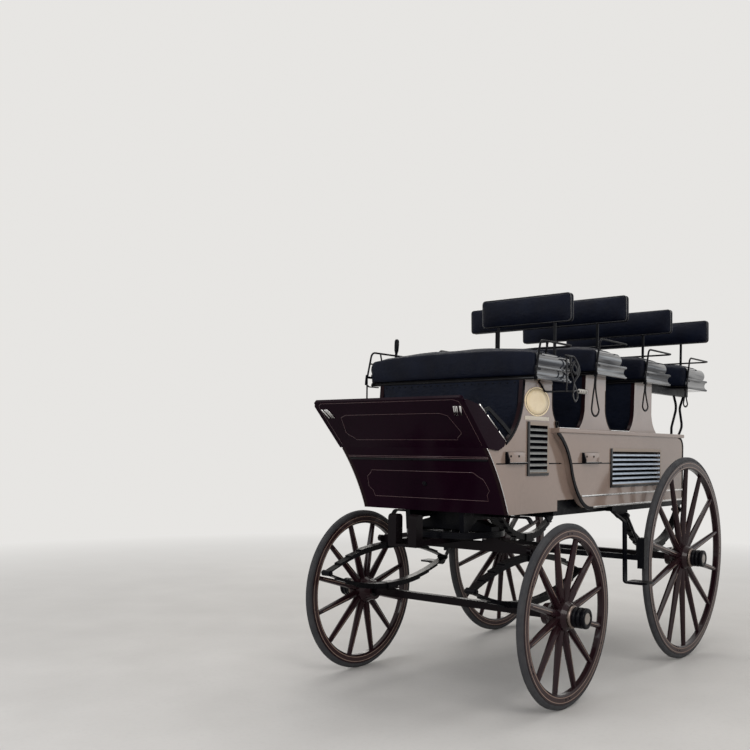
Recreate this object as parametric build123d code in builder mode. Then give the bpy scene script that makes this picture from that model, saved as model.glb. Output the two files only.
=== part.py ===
from build123d import *
import math
import os

os.makedirs("parts", exist_ok=True)

# Four-row horse-drawn break, standing on its wheels. Millimetres.
# +X forward, +Y to the left, +Z up, origin on the ground under the middle of the overall length.
# Stations along the body are counted forward from the front axle and placed by station().

front_axle_x = 905.6
wheelbase = 1699.0
front_wheel_radius = 505.0
rear_wheel_radius = 686.0
front_track = 1462.0
rear_track = 1480.0

# Body
side_out = 505.0
side_thickness = 25.0
quarter_thickness = 40.0
board_thickness = 18.0
boot_bottom_z = 1052.0
step_up_z = 1115.0
boot_floor_z = 1400.0
body_floor_z = 1450.0
sill_z = 1545.0
deck_z = 1526.0
rocker_z = 1055.0
boot_front_low = 236.0
boot_front_high = 458.0
boot_front_top_z = 1414.0
boot_front_sag = 326.0
boot_rear = -310.0
well_bottom_z = 1022.0
sweep_top = -225.0
sweep_waist = -405.0
sweep_waist_z = 1280.0
sweep_foot = -540.0
sweep_rise = 42.0
well_rear = -wheelbase + 679.0
first_pillar = 96.0
second_pillar = -653.0
row_pitch = 719.0
third_pillar = second_pillar - row_pitch
foot_deck_front = third_pillar - 373.0
body_rear = third_pillar - 778.0
pillar_flare = 78.0
pillar_flare_rise = 125.0

# Seats
seat_half_width = 585.0
seat_end_thickness = 22.0
seat_moulding = 7.0
seat_base_thickness = 20.0
seat_tier_depth = 325.0
cushion_depth = 360.0
backrest_height = 160.0
backrest_thickness = 52.0
backrest_half = seat_half_width - 5.0
rail_diameter = 12.0
upright_width = 16.0
upright_thickness = 9.0

# Running gear
tyre_width = 38.0
tyre_height = 28.0
felloe_depth = 54.0
felloe_width = 44.0
nave_radius = 82.0
hub_cap_radius = 47.0
hub_reach = 132.0
hub_ribs = 4
hub_rib_depth = 3.0
dish = 22.0
axle_size = 44.0
axle_shoulder = 135.0
arm_radius = 18.0
arm_length = 124.0
arm_middle = 75.0
spring_width = 50.0
leaf_thickness = 8.0
spring_y = 500.0
kingpin_radius = 22.0
fifth_wheel_radius = 290.0
fit_gap = 0.3


def station(s):
    return front_axle_x + s


rear_axle_x = station(-wheelbase)
side_in = side_out - side_thickness
quarter_out = side_out + quarter_thickness

# Louvres. Columns: name, middle station, width, bottom, top, outer face, slats
louvres = [
    ("louvres_front", first_pillar - 168.0, 236.0, 1262.0, 1566.0, side_out, 8),
    ("louvres_rear", third_pillar + 47.0, 795.0, 1175.0, 1425.0, quarter_out, 7),
]
louvre_frame = 20.0
louvre_proud = 8.0

# Columns: number, front edge, rear edge, top
pillars = [
    (1, first_pillar, first_pillar - 334.0, 1795.0),
    (2, second_pillar, second_pillar - 277.0, 1870.0),
    (3, third_pillar, third_pillar - 284.0, 1870.0),
]

# Columns: number, front edge, depth, underside, top of the ends, rail height, backrest height, its two ends
seats = [
    (1, first_pillar - 8.0, 380.0, 1795.0, 1942.0, 2010.0, 2240.0, 0.0, backrest_half),
    (2, second_pillar + 15.0, 405.0, 1870.0, 2020.0, 2088.0, 2325.0, -backrest_half, backrest_half),
    (3, third_pillar + 8.0, 405.0, 1870.0, 2020.0, 2090.0, 2325.0, -backrest_half, backrest_half),
    (4, third_pillar - row_pitch - 9.0, 385.0, 1870.0, 2025.0, 2095.0, 2330.0, -backrest_half, backrest_half),
]


def save(part, label):
    part.label = label
    export_step(part, f"parts/{label}.step")


# Side frames: one panel a side, from the boot to the tail, with the three flared pillars
with BuildPart() as side_frames:
    with BuildSketch(Plane.XZ.offset(-side_out)):
        with BuildLine():
            ThreePointArc(
                (station(boot_front_low), boot_bottom_z),
                (station(boot_front_sag), (boot_bottom_z + boot_front_top_z) / 2),
                (station(boot_front_high), boot_front_top_z),
            )
            first_foot = pillars[0][1] + 2.4 * pillar_flare
            Line((station(boot_front_high), boot_front_top_z), (station(first_foot + 20), boot_front_top_z + 10))
            last = (station(first_foot + 20), boot_front_top_z + 10)
            for number, front, rear, top in pillars:
                if number == 1:
                    front_foot = (station(first_foot), boot_front_top_z + 26)
                    front_waist = (station(front + 12), sill_z + pillar_flare_rise)
                    front_mid = (station(front + 80), sill_z - 18)
                else:
                    front_foot = (station(front + pillar_flare), sill_z)
                    front_waist = (station(front + 8), sill_z + pillar_flare_rise)
                    front_mid = (station(front + 36), sill_z + 44)
                rear_waist = (station(rear), sill_z + pillar_flare_rise)
                rear_mid = (station(rear - 30), sill_z + 46)
                rear_foot = (station(rear - pillar_flare), sill_z)
                Line(last, front_foot)
                ThreePointArc(front_foot, front_mid, front_waist)
                Line(front_waist, (station(front), top))
                Line((station(front), top), (station(rear), top))
                Line((station(rear), top), rear_waist)
                ThreePointArc(rear_waist, rear_mid, rear_foot)
                last = rear_foot
            Line(last, (station(foot_deck_front), deck_z))
            Line((station(foot_deck_front), deck_z), (station(body_rear + 25), deck_z))
            Line((station(body_rear + 25), deck_z), (station(body_rear + 25), step_up_z))
            Line((station(body_rear + 25), step_up_z), (station(boot_rear), step_up_z))
            Line((station(boot_rear), step_up_z), (station(boot_rear), boot_bottom_z))
            Line((station(boot_rear), boot_bottom_z), (station(boot_front_low), boot_bottom_z))
        make_face()
        # openings behind the two louvres
        for name, middle, width, louvre_low, louvre_high, face_y, slats in louvres:
            with Locations((station(middle), (louvre_low + louvre_high) / 2)):
                Rectangle(
                    width - 2 * louvre_frame,
                    louvre_high - louvre_low - 2 * louvre_frame,
                    mode=Mode.SUBTRACT,
                )
    extrude(amount=side_thickness)
    mirror(about=Plane.XZ)
save(side_frames.part, "side_frames")

# Swept front edge of the quarter panels: ends and middles of three arcs, from the ledge down to the rocker
ledge_low = deck_z - 16
sweep_points = [
    (station(sweep_top), ledge_low),
    (station(sweep_top - 103), sweep_waist_z + 148),
    (station(sweep_waist), sweep_waist_z),
    (station(sweep_waist - 60), sweep_waist_z - 106),
    (station(sweep_foot), rocker_z + sweep_rise),
    (station(sweep_foot - 60), rocker_z + 10),
    (station(sweep_foot - 138), rocker_z),
]

# Quarter panels: the proud outer panels of the main body, with their swept front edge
with BuildPart() as quarter_panels:
    with BuildSketch(Plane.XZ.offset(-quarter_out)):
        with BuildLine():
            Line((station(sweep_top), ledge_low), (station(body_rear), ledge_low))
            Line((station(body_rear), ledge_low), (station(body_rear), rocker_z))
            Line((station(body_rear), rocker_z), sweep_points[-1])
            for start, middle, end in zip(sweep_points[::2], sweep_points[1::2], sweep_points[2::2]):
                ThreePointArc(start, middle, end)
        make_face()
        fillet(vertices().sort_by(Axis.X)[:2].sort_by(Axis.Y)[-1], 70)
        name, middle, width, louvre_low, louvre_high, face_y, slats = louvres[1]
        with Locations((station(middle), (louvre_low + louvre_high) / 2)):
            Rectangle(
                width - 2 * louvre_frame,
                louvre_high - louvre_low - 2 * louvre_frame,
                mode=Mode.SUBTRACT,
            )
    extrude(amount=quarter_thickness)
    mirror(about=Plane.XZ)
save(quarter_panels.part, "quarter_panels")

# Ledges: the shelf moulding that caps each quarter panel
ledge_out = quarter_out + 14
with BuildPart() as ledges:
    with BuildSketch(Plane.XY.offset(ledge_low)):
        with Locations((station((sweep_top + body_rear + 20) / 2), (side_out + ledge_out) / 2)):
            Rectangle(sweep_top - body_rear - 20, ledge_out - side_out)
    extrude(amount=26)
    fillet(ledges.edges().filter_by(Axis.X).group_by(Axis.Y)[-1], 6)
    mirror(about=Plane.XZ)
save(ledges.part, "ledges")

# Bright mouldings: two half-round lines on each quarter panel, the strip down its swept edge and the sill strips
line_radius = 7.0
strip_width = 22.0
strip_proud = 8.0
eye_radius = 15.0
eye_wire = 4.0
# Columns: height of the line, its front end
moulding_lines = [(1133.0, sweep_foot + 8), (rocker_z + line_radius, sweep_foot - 150)]
with BuildPart() as mouldings:
    for line_z, line_front in moulding_lines:
        with BuildSketch(Plane.YZ.offset(station(body_rear + 2))):
            with Locations((quarter_out, line_z)):
                Circle(line_radius)
            with Locations((quarter_out - line_radius, line_z)):
                Rectangle(2 * line_radius, 2 * line_radius, mode=Mode.SUBTRACT)
        extrude(amount=line_front - body_rear - 2)
    for pillar_ahead, pillar_behind in zip(pillars, pillars[1:]):
        strip_from = pillar_ahead[2] - pillar_flare - 4
        strip_to = pillar_behind[1] + pillar_flare + 4
        with BuildSketch(Plane.YZ.offset(station(strip_to))):
            with Locations((side_out, sill_z - 4)):
                Circle(strip_proud / 2)
            with Locations((side_out - strip_proud / 2, sill_z - 4)):
                Rectangle(strip_proud, strip_proud, mode=Mode.SUBTRACT)
        extrude(amount=strip_from - strip_to)
    mirror(about=Plane.XZ)
save(mouldings.part, "mouldings")

# Edge strips: the iron strip down each swept edge, with the eye at its head
with BuildPart() as edge_strips:
    with BuildSketch(Plane.XZ.offset(-quarter_out - strip_proud)):
        with BuildLine() as strip_line:
            for start, middle, end in zip(sweep_points[::2], sweep_points[1::2], sweep_points[2::2]):
                ThreePointArc(start, middle, end)
        for edge in strip_line.edges():
            trace(edge, line_width=strip_width)
        with Locations((station(sweep_top), ledge_low + strip_width / 2)):
            Rectangle(4 * strip_width, strip_width, mode=Mode.SUBTRACT)
    extrude(amount=strip_proud)
    with BuildSketch(Plane.XZ.offset(-side_out - 9)):
        with Locations((station(sweep_top - 58), deck_z + 10 + eye_radius + 12)):
            Circle(eye_radius)
            Circle(eye_radius - eye_wire, mode=Mode.SUBTRACT)
        with Locations((station(sweep_top - 58), deck_z + 10 + 7)):
            Rectangle(12, 14)
    extrude(amount=9)
    mirror(about=Plane.XZ)
save(edge_strips.part, "edge_strips")

# Toe steps on the belt line. Columns: front end, length, face
toe_steps_at = [(265.0, 186.0, side_out), (-547.0, 204.0, quarter_out)]
toe_low = 1332.0
toe_high = 1396.0
with BuildPart() as toe_steps:
    for toe_front, toe_length, face_y in toe_steps_at:
        for low, high, proud in ((toe_low, toe_low + 6, 26), (toe_low + 6, toe_high, 7)):
            with BuildSketch(Plane.XY.offset(low)):
                with Locations((station(toe_front - toe_length / 2), face_y + proud / 2)):
                    Rectangle(toe_length, proud)
            extrude(amount=high - low)
        with BuildSketch(Plane.YZ.offset(station(toe_front))):
            with BuildLine():
                Polyline(
                    (face_y, toe_low),
                    (face_y + 26, toe_low),
                    (face_y + 26, toe_low + 22),
                    (face_y + 12, toe_high),
                    (face_y, toe_high),
                    close=True,
                )
            make_face()
        extrude(amount=10)
    mirror(about=Plane.XZ)
save(toe_steps.part, "toe_steps")

# Floors and boards. Columns: front, rear, underside, top
boards = [
    (boot_front_low - 24, boot_rear, boot_bottom_z, boot_bottom_z + board_thickness),
    (boot_front_high - 62, first_pillar, boot_floor_z - board_thickness, boot_floor_z),
    (boot_rear, body_rear + 25, step_up_z, step_up_z + board_thickness),
    (pillars[0][2], foot_deck_front, body_floor_z - board_thickness, body_floor_z),
    (foot_deck_front - board_thickness, body_rear + 25, deck_z - board_thickness, deck_z),
]
with BuildPart() as floors:
    for front, rear, low, high in boards:
        with BuildSketch(Plane.XY.offset(low)):
            with Locations((station((front + rear) / 2), 0)):
                Rectangle(front - rear, 2 * side_in)
        extrude(amount=high - low)
save(floors.part, "floors")

# Seat risers and bulkheads between the side frames. Columns: front face, underside, top
risers = [(foot_deck_front, body_floor_z, deck_z)]
for number, front, rear, top in pillars:
    riser_low = boot_bottom_z + board_thickness if number == 1 else body_floor_z
    risers.append((front, riser_low, top))
    risers.append((rear + board_thickness, riser_low, top))
with BuildPart() as bulkheads:
    for front, low, high in risers:
        with BuildSketch(Plane.XY.offset(low)):
            with Locations((station(front - board_thickness / 2), 0)):
                Rectangle(board_thickness, 2 * side_in)
        extrude(amount=high - low)
save(bulkheads.part, "bulkheads")

# Boot front: a panel curved like the front edge of the side frames
with BuildPart() as boot_front:
    with BuildSketch(Plane.XZ.offset(-side_in)):
        with BuildLine():
            ThreePointArc(
                (station(boot_front_low), boot_bottom_z),
                (station(boot_front_sag), (boot_bottom_z + boot_front_top_z) / 2),
                (station(boot_front_high), boot_front_top_z),
            )
            Line((station(boot_front_high), boot_front_top_z), (station(boot_front_high - 28), boot_front_top_z))
            ThreePointArc(
                (station(boot_front_high - 28), boot_front_top_z),
                (station(boot_front_sag - 22), (boot_bottom_z + boot_front_top_z) / 2),
                (station(boot_front_low - 24), boot_bottom_z),
            )
            Line((station(boot_front_low - 24), boot_bottom_z), (station(boot_front_low), boot_bottom_z))
        make_face()
    extrude(amount=2 * side_in)
save(boot_front.part, "boot_front")

# Footboard: inclined at about 45 degrees above the boot front
footboard_reach = 247.0
footboard_rise = 252.0
footboard_length = math.hypot(footboard_reach, footboard_rise)
footboard_plane = Plane(
    origin=(station(boot_front_high), 0, boot_front_top_z),
    x_dir=(0, 1, 0),
    z_dir=(footboard_rise, 0, -footboard_reach),
)
with BuildPart() as footboard:
    with BuildSketch(footboard_plane.offset(-board_thickness)):
        with Locations((0, footboard_length / 2)):
            Rectangle(2 * side_out, footboard_length)
    extrude(amount=board_thickness)
    fillet(footboard.edges().group_by(Axis.Z)[-2].filter_by(lambda e: e.length < 30), 14)
save(footboard.part, "footboard")

# Wings: the side plates behind the footboard
wing_thickness = 12.0
with BuildPart() as footboard_wings:
    with BuildSketch(Plane.XZ.offset(-side_out - wing_thickness)):
        with BuildLine():
            outline = FilletPolyline(
                (station(boot_front_high), boot_front_top_z - 2),
                (station(boot_front_high + footboard_reach), boot_front_top_z + footboard_rise),
                (station(boot_front_high + 96), boot_front_top_z + 222),
                (station(boot_front_high - 192), boot_front_top_z + 26),
                (station(boot_front_high - 92), boot_front_top_z - 14),
                radius=[12, 12, 30, 26, 26],
                close=True,
            )
        make_face()
    extrude(amount=wing_thickness)
    mirror(about=Plane.XZ)
save(footboard_wings.part, "footboard_wings")

# Wing stays: flat irons from the first pillar's foot up to the wings
with BuildPart() as wing_stays:
    with BuildSketch(Plane.XZ.offset(-side_out)):
        with BuildLine():
            FilletPolyline(
                (station(boot_front_high - 246), boot_front_top_z + 92),
                (station(boot_front_high - 170), boot_front_top_z + 138),
                (station(boot_front_high - 20), boot_front_top_z + 218),
                (station(boot_front_high + 60), boot_front_top_z + 196),
                (station(boot_front_high + 60), boot_front_top_z + 178),
                (station(boot_front_high - 14), boot_front_top_z + 198),
                (station(boot_front_high - 160), boot_front_top_z + 118),
                (station(boot_front_high - 232), boot_front_top_z + 72),
                radius=6,
                close=True,
            )
        make_face()
    extrude(amount=8)
    mirror(about=Plane.XZ)
save(wing_stays.part, "wing_stays")

# Louvres, in the openings of the side frames and quarter panels
for name, middle, width, low, high, face_y, slats in louvres:
    with BuildPart() as louvre:
        with BuildSketch(Plane.XZ.offset(-face_y - louvre_proud)):
            with Locations((station(middle), (low + high) / 2)):
                Rectangle(width, high - low)
                Rectangle(width - 2 * louvre_frame, high - low - 2 * louvre_frame, mode=Mode.SUBTRACT)
        extrude(amount=louvre_proud)
        pitch = (high - low - 2 * louvre_frame) / slats
        for k in range(slats):
            slat_z = low + louvre_frame + (k + 0.5) * pitch
            slat_plane = Plane(
                origin=(station(middle - width / 2 + louvre_frame), face_y - 6, slat_z),
                x_dir=(0, 1, 0),
                z_dir=(1, 0, 0),
            )
            with BuildSketch(slat_plane):
                with BuildLine():
                    Polyline(
                        (14, -pitch * 0.45),
                        (14, -pitch * 0.45 + 5),
                        (-10, pitch * 0.4),
                        (-10, pitch * 0.4 - 5),
                        close=True,
                    )
                make_face()
            extrude(amount=width - 2 * louvre_frame)
        mirror(about=Plane.XZ)
    save(louvre.part, name)

# Tail: the rear wall with its doorway, and the drop door hinged at the sill
door_half = 400.0
door_low = 1152.0
door_high = 1478.0
door_gap = 5.0
hinge_radius = 8.0
hinge_width = 60.0
hinge_places = (-260.0, 260.0)
hinge_x = station(body_rear) - 12
hinge_z = door_low - 8
with BuildPart() as rear_wall:
    with BuildSketch(Plane.YZ.offset(station(body_rear))):
        with Locations((0, (rocker_z + deck_z) / 2)):
            Rectangle(2 * side_out, deck_z - rocker_z)
        with Locations((0, (door_low + door_high) / 2)):
            Rectangle(2 * door_half, door_high - door_low, mode=Mode.SUBTRACT)
    extrude(amount=25)
    for hinge_y in hinge_places:
        for end in (-1, 1):
            knuckle_y = hinge_y + end * (hinge_width / 2 + fit_gap + 10)
            with BuildSketch(Plane.XZ.offset(-knuckle_y - 10)):
                with Locations((hinge_x, hinge_z)):
                    Circle(hinge_radius)
                with Locations((station(body_rear) - 6, hinge_z - 20)):
                    Rectangle(12, 40)
            extrude(amount=20)
save(rear_wall.part, "rear_wall")

with BuildPart() as tail_door:
    with BuildSketch(Plane.YZ.offset(station(body_rear) - 2)):
        with Locations((0, (door_low + door_high) / 2)):
            Rectangle(2 * (door_half - door_gap), door_high - door_low - 2 * door_gap)
    extrude(amount=20)
    for hinge_y in hinge_places:
        with BuildSketch(Plane.XZ.offset(-hinge_y - hinge_width / 2)):
            with Locations((hinge_x, hinge_z)):
                Circle(hinge_radius)
            with Locations((station(body_rear) - 8, hinge_z + 60)):
                Rectangle(12, 120)
        extrude(amount=hinge_width)
save(tail_door.part, "tail_door")

# Well: the black casing under the stepped-up floor
with BuildPart() as well:
    with BuildSketch(Plane.XZ.offset(-side_in)):
        with BuildLine():
            Polyline(
                (station(boot_rear), step_up_z),
                (station(boot_rear), well_bottom_z),
                (station(well_rear), well_bottom_z),
                (station(well_rear), step_up_z),
                close=True,
            )
        make_face()
    extrude(amount=2 * side_in)
    offset(amount=-12, openings=well.faces().sort_by(Axis.Z)[-1])
save(well.part, "well")

# Seats: tray with stepped and moulded ends, cushion, iron rail with uprights, padded backrest
for number, front, seat_depth, low, high, rail_z, back_z, back_from, back_to in seats:
    tier_z = (low + high) / 2 + 4
    upper_depth = seat_depth if number == 1 else seat_tier_depth
    # moulded bands of the ends, from the top: start, middle and end of each arc as (out, height)
    bands = [
        ((-13, high), (seat_moulding, (high + 2 * tier_z) / 3 + 10), (-1, tier_z)),
        ((-1, tier_z), (seat_moulding, tier_z - 9), (-1, tier_z - 18)),
        ((-1, tier_z - 18), (-8, (tier_z + low) / 2 - 1), (0, low + 16)),
        ((0, low + 16), (seat_moulding, low + 8), (0, low)),
    ]
    with BuildPart() as seat_box:
        with BuildSketch(Plane.XY.offset(low)):
            with Locations((station(front - seat_depth / 2), 0)):
                Rectangle(seat_depth, 2 * seat_half_width)
        extrude(amount=seat_base_thickness)
        for side in (-1, 1):
            with BuildSketch(Plane.YZ.offset(station(front - seat_depth - 2 * seat_moulding))):
                with BuildLine():
                    for start, middle, end in bands:
                        ThreePointArc(*[(side * (seat_half_width + out), z) for out, z in (start, middle, end)])
                    Polyline(
                        (side * (seat_half_width + bands[-1][2][0]), low),
                        (side * (seat_half_width - seat_end_thickness), low),
                        (side * (seat_half_width - seat_end_thickness), high),
                        (side * (seat_half_width + bands[0][0][0]), high),
                    )
                make_face()
            extrude(amount=seat_depth + 2 * seat_moulding)
        with BuildSketch(Plane.XZ):
            with BuildLine():
                for start, middle, end in bands:
                    tier_depth = upper_depth if start[1] > tier_z else seat_depth
                    ThreePointArc(*[(station(front - tier_depth - out), z) for out, z in (start, middle, end)])
                tier_foot = bands[0][2][0]
                if upper_depth < seat_depth:
                    Line(
                        (station(front - upper_depth - tier_foot), tier_z),
                        (station(front - seat_depth - tier_foot), tier_z),
                    )
                Polyline(
                    (station(front - seat_depth - bands[-1][2][0]), low),
                    (station(front), low),
                    (station(front), high),
                    (station(front - upper_depth - bands[0][0][0]), high),
                )
            make_face()
        extrude(amount=seat_half_width + 2 * seat_moulding, both=True, mode=Mode.INTERSECT)
        with BuildSketch(Plane.XY.offset(low)):
            with Locations((station(front - seat_depth + 10), 0)):
                Rectangle(20, 2 * seat_half_width - seat_end_thickness)
        extrude(amount=tier_z - low)
    save(seat_box.part, f"seat_box_{number}")

    cushion_low = low + seat_base_thickness + fit_gap
    cushion_half = seat_half_width - seat_end_thickness - 2
    with BuildPart() as cushion:
        with BuildSketch(Plane.XY.offset(cushion_low)):
            with Locations((station(front + 12 - cushion_depth / 2), 0)):
                RectangleRounded(cushion_depth, 2 * cushion_half, 30)
        extrude(amount=high + 18 - cushion_low)
        fillet(cushion.faces().sort_by(Axis.Z)[-1].edges(), 26)
    save(cushion.part, f"cushion_{number}")

    upright_x = station(front - seat_depth - upright_thickness / 2)
    rail_x = upright_x - upright_thickness / 2 - rail_diameter / 2 + 3
    rail_y = seat_half_width + seat_moulding + rail_diameter / 2
    with BuildPart() as rail:
        with BuildLine():
            FilletPolyline(
                (station(front + 30), rail_y, low + 55),
                (station(front - 14), rail_y, rail_z),
                (rail_x, rail_y, rail_z),
                (rail_x, -rail_y, rail_z),
                (station(front - 14), -rail_y, rail_z),
                (station(front + 30), -rail_y, low + 55),
                radius=40,
            )
        with BuildSketch(Plane(origin=(station(front + 30), rail_y, low + 55), z_dir=(-44, 0, rail_z - low - 55))):
            Circle(rail_diameter / 2)
        sweep()
        inset = 98.0 if number == 1 else 195.0
        for upright_y in (back_from + inset, back_to - inset):
            with BuildSketch(Plane.XY.offset(low)):
                with Locations((upright_x, upright_y)):
                    Rectangle(upright_thickness, upright_width)
            extrude(amount=back_z - backrest_height / 2 - low - fit_gap)
        for side in (-1, 1):
            with BuildSketch(Plane.XZ.offset(-side * (rail_y - 2) - 4)):
                with Locations((station(front + 12), low + 56)):
                    Rectangle(56, 14)
            extrude(amount=8)
    save(rail.part, f"rail_{number}")

    with BuildPart() as backrest:
        with BuildSketch(Plane.XZ.offset(-back_to)):
            with BuildLine():
                FilletPolyline(
                    (upright_x + 0.46 * backrest_thickness, back_z + backrest_height / 2),
                    (upright_x + 0.5 * backrest_thickness, back_z - backrest_height / 2),
                    (upright_x - 0.34 * backrest_thickness, back_z - backrest_height / 2),
                    (upright_x - 0.5 * backrest_thickness, back_z + backrest_height / 2),
                    radius=14,
                    close=True,
                )
            make_face()
        extrude(amount=back_to - back_from)
    save(backrest.part, f"backrest_{number}")

# Leather fall below the driving seat
with BuildPart() as seat_fall:
    with BuildSketch(Plane.XY.offset(boot_floor_z + fit_gap)):
        with Locations((station(first_pillar + fit_gap + 4), 0)):
            Rectangle(8, 2 * side_in - 10)
    extrude(amount=seats[0][3] - boot_floor_z - 2 * fit_gap)
save(seat_fall.part, "seat_fall")

# Ironwork that carries the rear seat behind the third pillar
iron = 18.0
seat_under_z = seats[3][3]
iron_front = body_rear + 38.0
iron_rear = body_rear - 160.0
bearer_front = pillars[2][2]
with BuildPart() as rear_seat_irons:
    for side in (-1, 1):
        iron_y = side * 480
        with BuildLine():
            FilletPolyline(
                (station(iron_front), iron_y, seat_under_z),
                (station(iron_front), iron_y, 1835),
                (station(iron_front - 66), iron_y, 1740),
                (station(iron_front + 27), iron_y, 1590),
                (station(iron_front + 27), iron_y, deck_z),
                radius=[20, 70, 40],
            )
        with BuildSketch(Plane(origin=(station(iron_front), iron_y, seat_under_z), z_dir=(0, 0, -1))):
            Circle(iron / 2)
        sweep()
        with BuildLine():
            FilletPolyline(
                (station(iron_rear), iron_y, seat_under_z),
                (station(iron_rear), iron_y, 1830),
                (station(iron_rear + 75), iron_y, 1735),
                (station(iron_rear + 20), iron_y, 1600),
                (station(body_rear) - iron / 2, iron_y, 1470),
                (station(body_rear) - iron / 2, iron_y, 1400),
                radius=[30, 40, 50, 50],
            )
        with BuildSketch(Plane(origin=(station(iron_rear), iron_y, seat_under_z), z_dir=(0, 0, -1))):
            Circle(iron / 2)
        sweep()
        with BuildSketch(Plane.XZ.offset(-iron_y - 20)):
            with Locations((station((bearer_front + iron_rear - 34) / 2), seat_under_z - 24)):
                Rectangle(bearer_front - iron_rear + 34, 48)
        extrude(amount=40)
save(rear_seat_irons.part, "rear_seat_irons")

# Passenger steps: one hanging tread a side, ahead of the rear wheel
step_x = station(well_rear + 10)
step_tread_x = step_x + 160
step_root_y = side_out + 21
step_tread_y = 785.0
step_tread_z = 600.0
with BuildPart() as steps:
    with BuildLine():
        FilletPolyline(
            (step_x, step_root_y, rocker_z),
            (step_x, step_root_y, rocker_z - 35),
            (step_x, step_root_y + 84, rocker_z - 95),
            (step_tread_x, step_tread_y - 95, step_tread_z - 6),
            (step_tread_x, step_tread_y + 15, step_tread_z - 6),
            radius=[18, 30, 20],
        )
    with BuildSketch(Plane(origin=(step_x, step_root_y, rocker_z), z_dir=(0, 0, -1))):
        Rectangle(34, 12)
    sweep()
    with BuildSketch(Plane.XY.offset(step_tread_z)):
        with Locations((step_tread_x, step_tread_y)):
            RectangleRounded(110, 130, 18)
    extrude(amount=12)
    mirror(about=Plane.XZ)
save(steps.part, "steps")


def leaf_sector(centre_x, centre_z, radius, half_angle, middle_angle, thickness):
    """Closed outline of one leaf: a strip between two arcs about (centre_x, centre_z)."""
    start = middle_angle - half_angle
    inner = CenterArc((centre_x, centre_z), radius, start, 2 * half_angle)
    outer = CenterArc((centre_x, centre_z), radius + thickness, start, 2 * half_angle)
    Line(inner @ 0, outer @ 0)
    Line(inner @ 1, outer @ 1)


# Front elliptic springs
front_eye_reach = 580.0
front_eye_z = 680.0
front_leaf_count = 4
clamp_length = 96.0
axle_top_z = front_wheel_radius + axle_size / 2
front_seat_z = axle_top_z + 10
half_rise = front_eye_z - front_seat_z - front_leaf_count * leaf_thickness
front_arc = (front_eye_reach ** 2 + half_rise ** 2) / (2 * half_rise)
front_main_angle = math.degrees(math.asin(front_eye_reach / front_arc))
with BuildPart() as front_springs:
    for upward in (-1, 1):
        arc_centre_z = front_eye_z - upward * (front_arc - half_rise)
        for k in range(front_leaf_count):
            with BuildSketch(Plane.XZ.offset(-spring_y - spring_width / 2)):
                with BuildLine():
                    leaf_sector(
                        front_axle_x,
                        arc_centre_z,
                        front_arc + k * leaf_thickness,
                        front_main_angle * (1 - 0.17 * k),
                        90 * upward,
                        leaf_thickness,
                    )
                make_face()
            extrude(amount=spring_width)
    for end in (-1, 1):
        with BuildSketch(Plane.XZ.offset(-spring_y - spring_width / 2 - 4)):
            with Locations((front_axle_x + end * front_eye_reach, front_eye_z)):
                Circle(17)
        extrude(amount=spring_width + 8)
        with BuildSketch(Plane.XZ.offset(-spring_y - spring_width / 2 - 12)):
            with Locations((front_axle_x + end * front_eye_reach, front_eye_z)):
                RegularPolygon(11, 6)
        extrude(amount=spring_width + 24)
    pack_height = front_leaf_count * leaf_thickness
    for clamp_z in (front_seat_z, 2 * front_eye_z - front_seat_z - pack_height - 4):
        with BuildSketch(Plane.XY.offset(clamp_z)):
            with Locations((front_axle_x, spring_y)):
                Rectangle(clamp_length, spring_width + 16)
        extrude(amount=pack_height + 4)
    mirror(about=Plane.XZ)
save(front_springs.part, "front_springs")
front_spring_top = front_eye_z + half_rise + front_leaf_count * leaf_thickness

# Front axle with the spring blocks
with BuildPart() as front_axle:
    with BuildSketch(Plane.XZ.offset(-front_track / 2 + axle_shoulder)):
        with Locations((front_axle_x, front_wheel_radius)):
            Rectangle(axle_size, axle_size)
    extrude(amount=front_track - 2 * axle_shoulder)
    for side in (-1, 1):
        with BuildSketch(Plane.XY.offset(axle_top_z)):
            with Locations((front_axle_x, side * spring_y)):
                Rectangle(130, spring_width + 20)
        extrude(amount=front_seat_z - axle_top_z)
        with BuildSketch(Plane.XZ.offset(-side * (front_track / 2 - arm_middle) - arm_length / 2)):
            with Locations((front_axle_x, front_wheel_radius)):
                Circle(arm_radius)
        extrude(amount=arm_length)
save(front_axle.part, "front_axle")

# Bed: the transom that rests on the front springs
bed_depth = 76.0
bed_height = 50.0
bed_half = 545.0
bed_top = front_spring_top + bed_height
futchell_height = 30.0
ring_width = 36.0
with BuildPart() as bed:
    with BuildSketch(Plane.YZ.offset(front_axle_x - bed_depth / 2)):
        with BuildLine():
            Polyline(
                (-bed_half, front_spring_top),
                (bed_half, front_spring_top),
                (bed_half, bed_top - 24),
                (bed_half - 40, bed_top),
                (450, bed_top),
                (fifth_wheel_radius, bed_top + futchell_height),
                (fifth_wheel_radius - ring_width, bed_top + futchell_height),
                (fifth_wheel_radius - 2 * ring_width, bed_top),
                (2 * ring_width - fifth_wheel_radius, bed_top),
                (ring_width - fifth_wheel_radius, bed_top + futchell_height),
                (-fifth_wheel_radius, bed_top + futchell_height),
                (-450, bed_top),
                (40 - bed_half, bed_top),
                (-bed_half, bed_top - 24),
                close=True,
            )
        make_face()
    extrude(amount=bed_depth)
    for side in (-1, 1):
        with BuildSketch(Plane.XZ.offset(-side * (bed_half - 14) - 12)):
            with Locations((front_axle_x + bed_depth / 2 + 8, (front_spring_top + bed_top) / 2)):
                Circle(20)
                Circle(9, mode=Mode.SUBTRACT)
        extrude(amount=24)
    with BuildSketch(Plane.XY.offset(front_spring_top - 40)):
        with Locations((front_axle_x, 0)):
            Circle(kingpin_radius + fit_gap)
    extrude(amount=bed_top - front_spring_top + 80, mode=Mode.SUBTRACT)
save(bed.part, "bed")

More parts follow.
